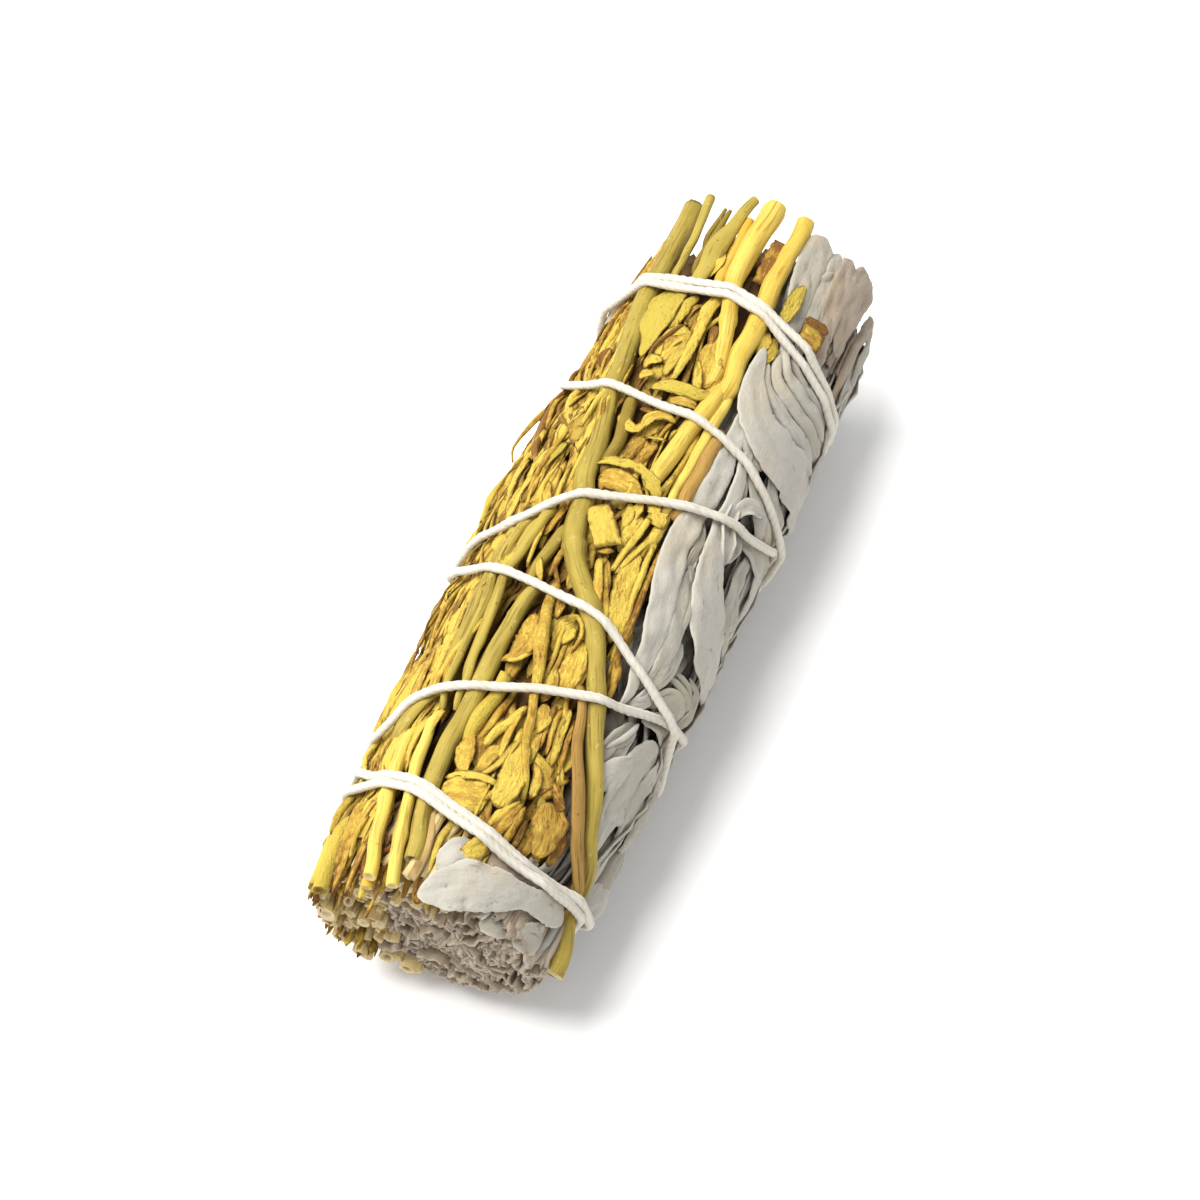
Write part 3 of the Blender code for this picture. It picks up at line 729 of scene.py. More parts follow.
# Each stem's node and rind, and its stalks.
STEMS = read_table(stalk, Cut, """
main_stem OLIVE
  -48.5 97.5 1.9, -45.5 96.5 1.4, -42.8 91 .3, -39.8 85.5, -37.4 80, -35.2 67.5, -33.2 60.6, -31.2 54.4,
    -27.1 43.1, -24.5 36.4, -21.5 30.5, -18 23.4, -14.4 16, -12 9.5, -10 3, -8 -2.5, -5.5 -7.5, -4 -10,
    -2 -12, 1 -14, 4 -18, 6 -19.8, 8 -20.5, 10 -21.4, 14 -25.5, 18 -29.5, 22 -31.6, 26 -34.2, 30 -37, 34 -41,
    40 -42.5, 44 -43, 48 -44.5, 52.5 -47 |
    1.3 1.15 1.05 1 1.05 1.1 1.2 1.2 1.2 1.3 1.35 1.3 1.2 1.25 1.3 1.38 1.35 1.25 1.3 1.4 | .6 SOLID SOLID |
    knots .4 .47, wobble .05
  6.2 -12.8, 9 -12.8, 12 -13.7, 15 -15.8, 18 -18.5 | .7 .8 .85 .85 .8 | .3
  -11.5 -21, -8.2 -18.8, -5.5 -17.2, -2 -15.2 | .5 .65 .7 .5 | .45 | height -.6
hollow_stem OLIVE
  -48.9 -9, -46.6 -10.6, -44.6 -13.3, -42.4 -15.6, -40 -17, -36 -18, -30 -17.5, -24 -17, -20 -17.3, -17 -17,
    -14.5 -16, -11.5 -15.2 | 1 1.02 1.08 1.1 1.12 1.1 1 .72 | .7 HOLLOW | wobble .05
thin_stem_1 OLIVE
  -30 -22.5, -26 -23, -22 -24.5, -18 -26, -14 -28, -11 -29.5, -8 -27.5, -4 -26, -1 -25.5 |
    .42 .48 .48 .58 .62 | .95 | knots .3, height .4
  -30 -30.5, -26 -31, -22 -31.5, -18 -32, -14 -33.5, -11 -35.5, -8 -36, -2.5 -33 | .45 .5 .5 .55 .62 | .8 |
    height .45
  -26 -26.5, -20 -27.5, -15 -30, -9 -33 | .35 .42 .42 .3 | .6 | height .1
thin_stem_2 OLIVE
  -35 -50, -31 -43, -28 -38 | 1.15 1.25 1 | .6 | flat .45, height .45
  -28.5 -39, -26 -38, -22 -36, -18 -37, -14 -38, -10.5 -39, -4 -37 | .6 .75 .75 .75 .55 | .6 | flat .6,
    height .45
  -9 -31, -5.5 -30, -2 -28.5 | .4 .5 .4 | .85 | height .2
  -9.5 -41, -6 -40, -2.5 -39 | .45 .5 .4 | .7 | height .3
near_stem_1 YELLOW
  -52.2 -25.5, -50 -28, -48 -30.5, -46 -32.5, -44 -34, -42 -36.5, -38 -39, -33 -41 | .8 .8 .85 .8 .6 |
    .85 SOLID | knots .5, height .15
  -52.7 -30.5, -50.5 -32, -48 -35 | .7 .75 .6 | 0 SOLID | height -1.3
near_stem_2 YELLOW
  -52.6 -12, -50 -15.5, -48 -18, -46 -19.6, -43.9 -21.7, -42.1 -23.5, -40 -26, -37.5 -27.5, -34 -29.5,
    -30.5 -29.5 | .72 .72 .72 .7 .65 .5 | 1 SOLID | knots .27, height .15
brown_stem BROWN
  -42.6 87, -40.2 80, -39.1 71, -36.8 58, -34.9 51.6, -32.9 46, -28.8 34.7, -25 29, -21.5 22.5 |
    .95 1 1 .95 .85 .7 .6 .5 | .6 | flat .55, ridges 5, ridge_depth .1, wobble .05, height .1
far_stem_1 YELLOW
  22.5 11.5, 25 11, 28 9.8, 30 8, 32 6, 34 4, 36 1.8, 39 -1.2, 42 -2, 46 -2.2, 50 -.9, 52.6 -.5 |
    .8 .9 1 1.1 1.4 1.45 1.48 | .6 HIDDEN SOLID | knots .35
far_stem_2 YELLOW
  6.8 9, 8 9.5, 10 10.5, 12 11.5, 14 12, 18 14, 21.5 16.5, 24 18 | 1 1.1 1.1 1.1 1.2 | .6 SOLID
  3.5 20, 8 20, 12 20.6, 16 20.8, 20 21.5, 24 20 | .5 .6 .62 .75 .8 | .8
  21 19, 23 19.3, 26 18.5, 28 17.8, 32 17.2, 36 17, 42 15.6, 46 15.4, 52.5 16 | 1 1.35 1.3 1.25 1.15 1.2 |
    .45 HIDDEN SOLID | knots .08
far_stem_3 OLIVE
  37 -30, 42 -29.8, 46 -31, 50 -33.5, 53 -35.5 | .5 .52 .55 .65 | 1.1 HIDDEN SOLID | height .2
far_stem_4 OLIVE
  37 -18.5, 40 -17.5, 42 -17.3, 44 -17.6, 46 -16.8, 48 -15.5, 50 -14.8, 53.3 -12 | 1 1.15 1.45 1.45 1 .85 .7 |
    .75 HIDDEN SOLID | flat .7
  40 -24, 44 -22.5, 48 -22, 50.6 -21.5 | .4 .5 .45 .3 | .1 HIDDEN TORN
  44 -26, 48 -25, 51 -24.5 | .3 .35 .25 | -.1 HIDDEN SOLID
far_stem_5 YELLOW
  38 -9, 42 -8.7, 46 -9, 50 -10.5 | .7 .75 .7 .6 | 0 HIDDEN SOLID | height -.8
lower_stem BROWN
  4.2 25.5, 8.5 25.3, 13.6 25.5, 18 26.5 | .9 1 1 .8 | .75 | ridges 5
side_stem STRAW
  -52.2 -97, -20 -95, 20 -98, 46.5 -97 | 1.25 1.3 1.3 1.2 | .5 SOLID SOLID | wobble .4, height -.8
""")


# ---- where the petals lie

# Where each head lies: x from and to, and turn from and to.
HEADS = read_areas("""
flower_head_near -45.5 -36 -8 54
flower_head_middle -36.2 -26 -10 34
flower_head_pointed -26 -14 -9 22
flower_head_low -21 -9.5 10 33
torn_petals -10 3.5 -8 25
curled_petals 3 21 -14 7
leafy_bract 20 35 -26 -12
far_petals 20 48 -12 0
ridge_flowers_1 -49 -37.4 -64 -38
ridge_flowers_2 -37.4 -20 -64 -33
ridge_flowers_3 -20 -3 -64 -30
ridge_flowers_4 -3 8.3 -64 -21
ridge_flowers_5 8.3 20.3 -64 -25
ridge_flowers_6 20.3 36.3 -64 -38
ridge_flowers_7 36.3 48 -60 -46
back_flowers_1 -50.5 47 -97 -62
back_flowers_2 -50.5 47 -140 -97
""")

# The petals, bracts and scraps that lie on top, placed one by one.
PETALS = read_table(petal, Bend, """
flower_head_near
  -40.2 -13, -39.9 -5, -39.6 3, -39.2 10 | 2 3.4 4 3.2 | .6 | crumple .1
  -38.6 -12, -37.7 -3, -37.2 6, -37.2 12 | .6 1 1 .6 | .85 | raised .2
  -39.6 15, -36.5 15.5, -33.5 14, -30.5 12 | 2.4 3.3 2.9 1.2 | .85 | raised .25, crumple .08, blunt 1.4
  -37.3 24, -39.5 19.5, -41.8 16.5 | .5 1.8 1.6 | .6 VALLEY
  -37.4 25.5, -40 23, -42.4 21 | .4 1.5 1.2 | .4 VALLEY | raised .1
  -37.6 27, -39.5 26.5, -42.5 27 | .4 1.5 1.4 | .3 VALLEY
  -38.8 31, -40.5 31, -42.3 32 | .6 1.4 1.2 | .1 | tilt 30
  -35.4 37, -37.3 40, -39.4 42.5, -41.6 45 | 4 5 4.6 2 | .4 | raised .1, crumple .1, blunt 1.5
  -35.6 47, -38 51, -41 55 | 1.5 2.4 1.5 | .15 | raised -.5
  -31.4 18.5, -33 26, -35 36 | .6 3.4 5 | .5 VALLEY | columns 15, crumple .1, blunt 0
  -32.6 21, -34.3 25, -36.6 27 | .4 1.2 1 | .7 | raised .25
  -33.4 33, -34.6 38, -35.2 44 | .7 1.5 1.8 | .3 VALLEY | raised .25
  -31.8 32.5, -32.6 34, -33.4 36 | .5 .8 .4 | 1 | raised -.3
  -46.6 12, -44.8 16.5, -43 21 | 2 2.9 2.6 | .75 FOLDED | folded .4, raised .35, blunt 0
  -53 1.5, -51 0, -49 -1 | 1.8 2.6 1.6 | .05 PLEATED | raised -.9
flower_head_middle
  -37.6 -5, -36 -7.5, -34 -9, -32.3 -9.5 | 1 2.2 2 .7 | .5 | raised .15
  -36.7 .5, -35.3 1.5, -34 3, -32.8 5 | .6 1.8 1.7 .6 | .5 | raised .1
  -30.8 11, -32.5 9.5, -34.5 8, -36.2 5, -37.2 1.5 | .4 .8 .9 .8 .3 | .95 | raised .3
  -27.5 5.5, -31 5, -35 6.5 | 1 1.8 .8 | .55 FOLDED
  -25.6 13, -27.5 15, -29.8 14.5 | .8 2.2 1 | .75 | raised .1
  -28.5 16.5, -31 16, -33.5 19 | .8 2 .8 | .5
  -25 17.5, -28 18, -31 20 | .6 .8 .5 | .2 VALLEY | raised .1
  -25 20.5, -28 21, -31.2 24 | .7 .9 .5 | .4 VALLEY | raised .1
  -24.8 24, -28 24.5, -32 28 | .8 1.2 .7 | .6 | raised .2
  -25.5 28, -29 29.5, -32.5 33 | .5 .8 .5 | .25 VALLEY | raised .1
flower_head_pointed
  -22.9 -14, -21.8 -8, -19.3 -6, -15.7 -9 | .3 2.3 2.8 .8 | .5 EDGES_UP | folded .9 .6 .4, raised .15
  -22.8 -12, -22.4 -6, -20.6 -1 | .3 .7 .3 | .95 | raised .4
  -18.3 7.5, -16.9 8.7, -15.5 9.5 | .5 1.4 .5 | 1 EDGES_UNDER | raised .15
  -18.9 12.7, -16.3 12.9, -14.5 9.5, -14.3 6.5, -15.5 4.5 | .3 .5 .6 .6 .3 | .75 | tilt 40, raised .35
  -16.5 14, -18.5 15.5, -21 16.5, -23.6 16 | 1 2.6 3 1.8 | .6 FOLDED | folded .3
  -23.6 19.5, -21.5 21, -18.5 22.5 | .6 1.3 .5 | .5 VALLEY
  -25.5 11, -23.5 11.5, -21 10 | .8 1.6 .6 | .55
  -15.4 0, -13.6 -1, -11.3 -5 | .5 1.2 .5 | .45
  -21 -3, -19 -1.5, -16 -1.5 | .4 1.3 .5 | .35 VALLEY
flower_head_low
  -5.8 4.5, -8.5 8, -11 11.5, -13.2 16 | 1.2 1.7 1.6 .8 | .55 FOLDED | raised .2
  -5.6 8, -8 11, -10.5 14.5, -13 19.5 | .7 1.3 1.3 .6 | .45 VALLEY | raised .1
  -2 16.5, -6.1 18.5, -11 22, -14.6 26 | 1 2.6 2.6 1 | .75 | crease .12
  1.7 22, -4.1 23, -9.1 25, -14.3 28.5 | .4 .9 1 .5 | .85 VALLEY | raised .2
  -9 28, -14 29, -18.6 32 | .5 1.1 .6 | .5 VALLEY
  -14.3 31.5, -17.5 34, -20.8 37.5 | .8 1.6 .5 | .25 VALLEY
  -10.7 30.5, -15 31.5, -19 35 | .5 1 .4 | .1 VALLEY | raised .1
torn_petals
  .5 -6.6, -2 -.3, -4.5 6 | 2.7 3 3.2 | .85 BOWED | crease .05, crumple .06, tilt -6, ragged .015, thick .2,
    columns 15, raised .75, droop .1, twist 2, blunt 0
  -4.9 1.5, -5.1 5, -4.3 9 | .5 .9 .5 | .1 | raised .25
  -6.9 11.5, -1.4 14, 5.5 17.5 | .7 1.05 .5 | .9 VALLEY | raised .35
  -6.9 13.5, -3.2 17, .4 21 | .5 .9 .5 | .8 VALLEY | raised .2
  -4 10.5, -1 11, 2 11.5 | 1 2 1.2 | .7
  -1.6 8, 1.2 7, 3.2 5 | .6 1.3 .8 | .85 | raised .1
  .6 10, 2.2 9.5, 4.2 9 | .5 1.2 .4 | .9 | raised .2
  1.2 22, 2.2 18.5, 3.3 14.5, 3.9 12.5 | 1.2 2.4 1.6 .5 | .92 EDGES_UP | folded .5, ragged .14, raised .5
  -3.8 19, .1 21, 4.4 22.5 | .8 1.8 .9 | .7 VALLEY
curled_petals
  4.7 -13, 4.9 -8, 4.9 -2, 4.5 4, 4.1 8.5 | 2 2.6 2.7 2.3 1 | .45 WAVY | raised .1, columns 13
  6.3 -16.5, 7.1 -11, 7.1 -6, 7.2 0, 6.7 6.5, 5.7 11.5, 5 15.5 | .3 1 1.4 1.2 1.5 1.9 .7 | .97 EDGES_UNDER |
    folded .5, ragged .1, raised .65
  5.3 13.5, 6.7 15, 8.9 16.5 | .3 .5 .2 | .95 | raised .6
  8.2 -6, 10 -4.5, 12.3 -3 | 1 2 1 | .45 FOLDED
  8 -1, 10 .5, 12.2 3 | .6 1.6 .8 | .35 VALLEY
  15.4 -16.5, 13.6 -14.8, 12.7 -11, 12.7 -7, 14.4 -6 | .7 1.4 1.5 1.2 .5 | .85 EDGES_UP | folded .7,
    raised .35
  13 -6.5, 15.2 -4.5, 16.3 0, 16 6 | .6 1.5 1.6 .7 | .6 EDGES_UNDER | folded .5, raised .2
  12.4 -3, 12.4 2, 13 6.5 | .3 .5 .3 | .85 | raised .1
  17 -13, 16.6 -9, 16.8 -5 | .8 1.2 .8 | .05 VALLEY
  12.9 7, 14 7.5, 15 9 | .2 .4 .2 | .9 | raised .3
  19.4 -11.5, 20.1 -5, 20.3 2, 20.5 9, 21.6 15 | .5 1.5 1.8 1.6 .7 | .95 FOLDED | folded .4, columns 13,
    crease .12, raised .55
  18.5 -2, 18.8 4, 19.3 11 | .5 1.3 1.2 | .8 | raised .3
leafy_bract
  24.2 -24, 27.5 -24.5, 31 -26.5, 34 -27.5, 37 -28 | .7 2.6 4.8 5 4 | 1.25 EDGES_UNDER | folded .3,
    crease .16, crumple .13, columns 17, ragged .01, twist 2, raised .3
  29 -19, 32 -17.5, 36.4 -17 | .8 2.2 1.8 | 1.2 VALLEY | crumple .08
  25 -19, 28 -14, 30 -9 | 1.4 3.4 1.6 | 1.15 | crumple .08
  22.6 -20.5, 23.6 -17.5, 24.3 -13 | .5 1.8 .8 | .8 EDGES_UP | raised .1
  20.6 -19.5, 21.4 -16.5, 21.8 -13 | .5 1.4 .6 | .85 EDGES_UP | folded .6, raised .1
  24 -13, 26.8 -9.5, 29 -6 | 1.4 3.2 1.4 | .65 FOLDED | folded .4
far_petals
  21.5 -4.6, 25 -4, 29 -4, 33 -5.5, 36.8 -5.5 | .8 1.4 1.4 1.9 2 | .85 CUPPED | crease .06, raised .3
  22 -9.5, 25 -8.5, 30 -9 | .8 1.8 .8 | .6
  25.8 1.5, 23.5 4.5, 21 7.5, 19.6 9.5 | .4 1.1 1.2 .5 | .8 EDGES_UP | raised .25
  31 4, 27.5 5.5, 24.5 7.5, 22 9 | 1 3 3.4 2 | .45 FOLDED | folded .4
  31.8 1.2, 30 2.2, 28.3 3 | .6 1.2 .6 | 0 EDGES_UP
  28.2 22.5, 29.2 26, 31.6 29, 34.8 28.5 | .4 1.3 1.5 .9 | .72 EDGES_UP | folded .9, raised .3
  30.5 23, 32.3 24.5, 34.9 24 | .4 1.7 .7 | .88 EDGES_UP | raised .2
  36.4 27, 38.8 26.8, 41.2 27.2, 43.2 29 | 1.2 2 1.7 .4 | 1 EDGES_UP | folded .5, raised 1.1
  37.5 29, 39.5 28.5, 42.7 30 | .5 1.3 .5 | .75 EDGES_UP | raised .1
  36.6 35.5, 36.9 41, 37 47 | 2.6 2.7 2.6 | .4 | crease .04, crumple .04, twist 0, raised 1.5, droop 0,
    blunt 0
  38.5 35, 39 41, 39.7 48 | 1.4 1.6 1.3 | -.05 | crumple .05, twist 0, raised 1.1, droop 0, blunt .4
  40.8 9.8, 44.5 9.8, 48.4 10 | 2.2 2.4 2.4 | .15 | crease .03, crumple .04, thick .3, raised -.5, twist 0,
    blunt 0
  39 -14, 41 -12, 43.5 -12.5 | .6 1.6 .6 | .85 EDGES_UP
ridge_flowers_1
  -45 -57, -43 -51, -41 -49 | 1.2 3 1.4 | .5 PLEATED | folded .4, columns 13
ridge_flowers_2
  -30 -29, -34 -30, -39 -32 | 1 1.8 1 | .95 FOLDED | folded .4, raised .1
  -38 -37, -34 -36, -31 -33 | .8 1.4 .6 | .9 | raised .1
  -18.2 -44, -20.5 -45, -23.2 -46 | .5 1.7 .4 | .95 | raised .3
ridge_flowers_3
  -14 -44.5, -15.5 -45, -17.2 -46 | .4 1.2 .4 | 1 | raised .3
  -3 -43, -5 -45, -7.5 -46 | 2 4 3 | .02 PLEATED | folded .5, columns 13
  -8 -19.5, -9.6 -17, -11.2 -14 | .6 1.9 .7 | 1 FOLDED | raised .1
ridge_flowers_4
  -.5 -43, 4.5 -44, 9 -47 | 1.6 1.9 1 | .6 SLIGHT | crease .06, raised .4
  2.5 -35, 5.5 -37, 9.5 -39 | 1.8 2.3 1.4 | .5 FOLDED | folded .3, raised .2
  2 -27, 5 -28, 9.5 -30 | .8 1.6 .8 | .65 VALLEY | raised .1
  9.5 -36, 6.5 -39.5, 3.2 -44 | 1.2 2.6 1.2 | 1.25 EDGES_UP | folded .5, raised .75
  16 -47, 14 -44, 12.5 -40 | .8 1.8 .8 | 1.2 VALLEY | raised .7
ridge_flowers_5
  5 -45, 9 -47.5, 13.5 -51 | .8 1.2 .8 | .05 EASY | raised .5
  11 -46, 11.5 -42, 10.8 -38 | .8 1.6 .6 | .6 EDGES_UP | raised .4
  15.5 -68, 17 -67.5, 18.8 -67 | .4 1.2 .4 | .2 EDGES_UP | raised 1.5
  12.5 -50, 14 -46, 15.5 -42 | 1.2 2.6 1.2 | -.1 PLEATED | raised .1
ridge_flowers_6
  23 -44, 25 -46, 27 -49 | 1.2 2 1 | -.1 PLEATED | raised .1
""")

# The twigs and rolled bits that belong to the heads.
TWIGS = read_table(stalk, Cut, """
flower_head_middle
  -36.9 24.5, -33.8 17.8, -30.2 12, -27.3 9, -23.8 5.8, -19.9 .5, -16.9 -2.6, -14.7 -5.2, -11 -7 |
    .35 .42 .48 .5 .62 .75 .72 .65 .5 | .45 | flat .7, knots .3 .7, height .3
  -24.3 -8, -27 -9, -30.5 -10, -34 -11.8 | .85 .9 .9 .6 | .75 HOLLOW
  -26.8 6, -29.5 4, -31.5 -.5, -33.2 -3.5 | .4 .55 .55 .4 | .85
  -36.1 27.5, -33.5 34.5, -31.5 41 | .35 .3 .2 | .1 | sides 8
leafy_bract
  24.2 -20.5, 27 -17, 30.5 -12.2 | .2 .26 .2 | -.1 | sides 8, height .35
torn_petals
  20.8 17.5, 13.3 17, 4.9 16, -2 14 | .3 .35 .35 .2 | .6 | sides 8, height -.6
flower_head_low
  -21.2 38, -14.9 31, -7.8 28, -.5 26.5 | .4 .5 .45 .3 | .2 | sides 8
ridge_flowers_1
  -47.3 -43.5, -44.5 -44, -42 -44.5, -38 -46 | .95 | .6 SOLID | flat .6
  -53.5 -60, -50 -62, -44 -63 | .85 .9 .9 | .95 SOLID | height .3
  -52.5 -68, -47 -70, -42 -71 | .8 .85 .8 | .85 SOLID | height .5
  -52.2 -76, -46 -78, -40 -78 | .75 | .75 SOLID | height .5
  -50.5 -50, -46 -52, -42 -53 | .6 .7 .6 | .35 TORN | height .3
  -47 -73, -44 -70.5, -41 -68 | .3 | -.2 | height .5, sides 8
ridge_flowers_5
  11 -39.5, 12.3 -41.5, 13.9 -47, 16 -52 | .25 .3 .3 .2 | 0 | sides 8, wobble .3, height .5
  11.7 -40, 13 -39.5, 14.8 -45.5 | .2 .28 .2 | .1 | sides 8, wobble .3, height .5
  25 -67, 21 -65, 17 -62.5, 13.5 -60, 10.5 -55, 7 -49 | .4 .55 .65 .7 .5 | 0 | flat .7, ridges 4, height 1
  15.5 -46, 17.5 -50, 16.5 -54, 14.5 -52 | .2 .3 .25 | -.1 | sides 8, height .8
back_flowers_1
  9.2 -71 2.5, 12.3 -70.5 2.4, 14.8 -69 1.9, 17.5 -68 1.3, 21 -66.5 .5 | .16 .2 .36 .3 .2 | .35 | sides 8,
    height 0
  3.2 -71 1.8, 7.3 -70 1.4, 12 -68 .6 | .1 .14 .16 | .3 | sides 6, height 0
  18.5 -71 2.2, 20 -70 1.2, 22 -68 .4 | .12 .3 .15 | .5 | sides 6, height 0
  -20 -73 1.4, -16 -71 .8, -12 -70 .3 | .12 .2 .2 | .4 | sides 6, height 0
ridge_flowers_7
  35 -57, 40 -59, 44 -60.5, 48.4 -62 | 1.1 1.25 1.3 1.2 | .75 HIDDEN SOLID | flat .6, height -1.1
  37 -51, 42 -51.5, 46.5 -53 | .6 .7 .6 | .5 HIDDEN SOLID | flat .7
""")


# ---- where the sage lies

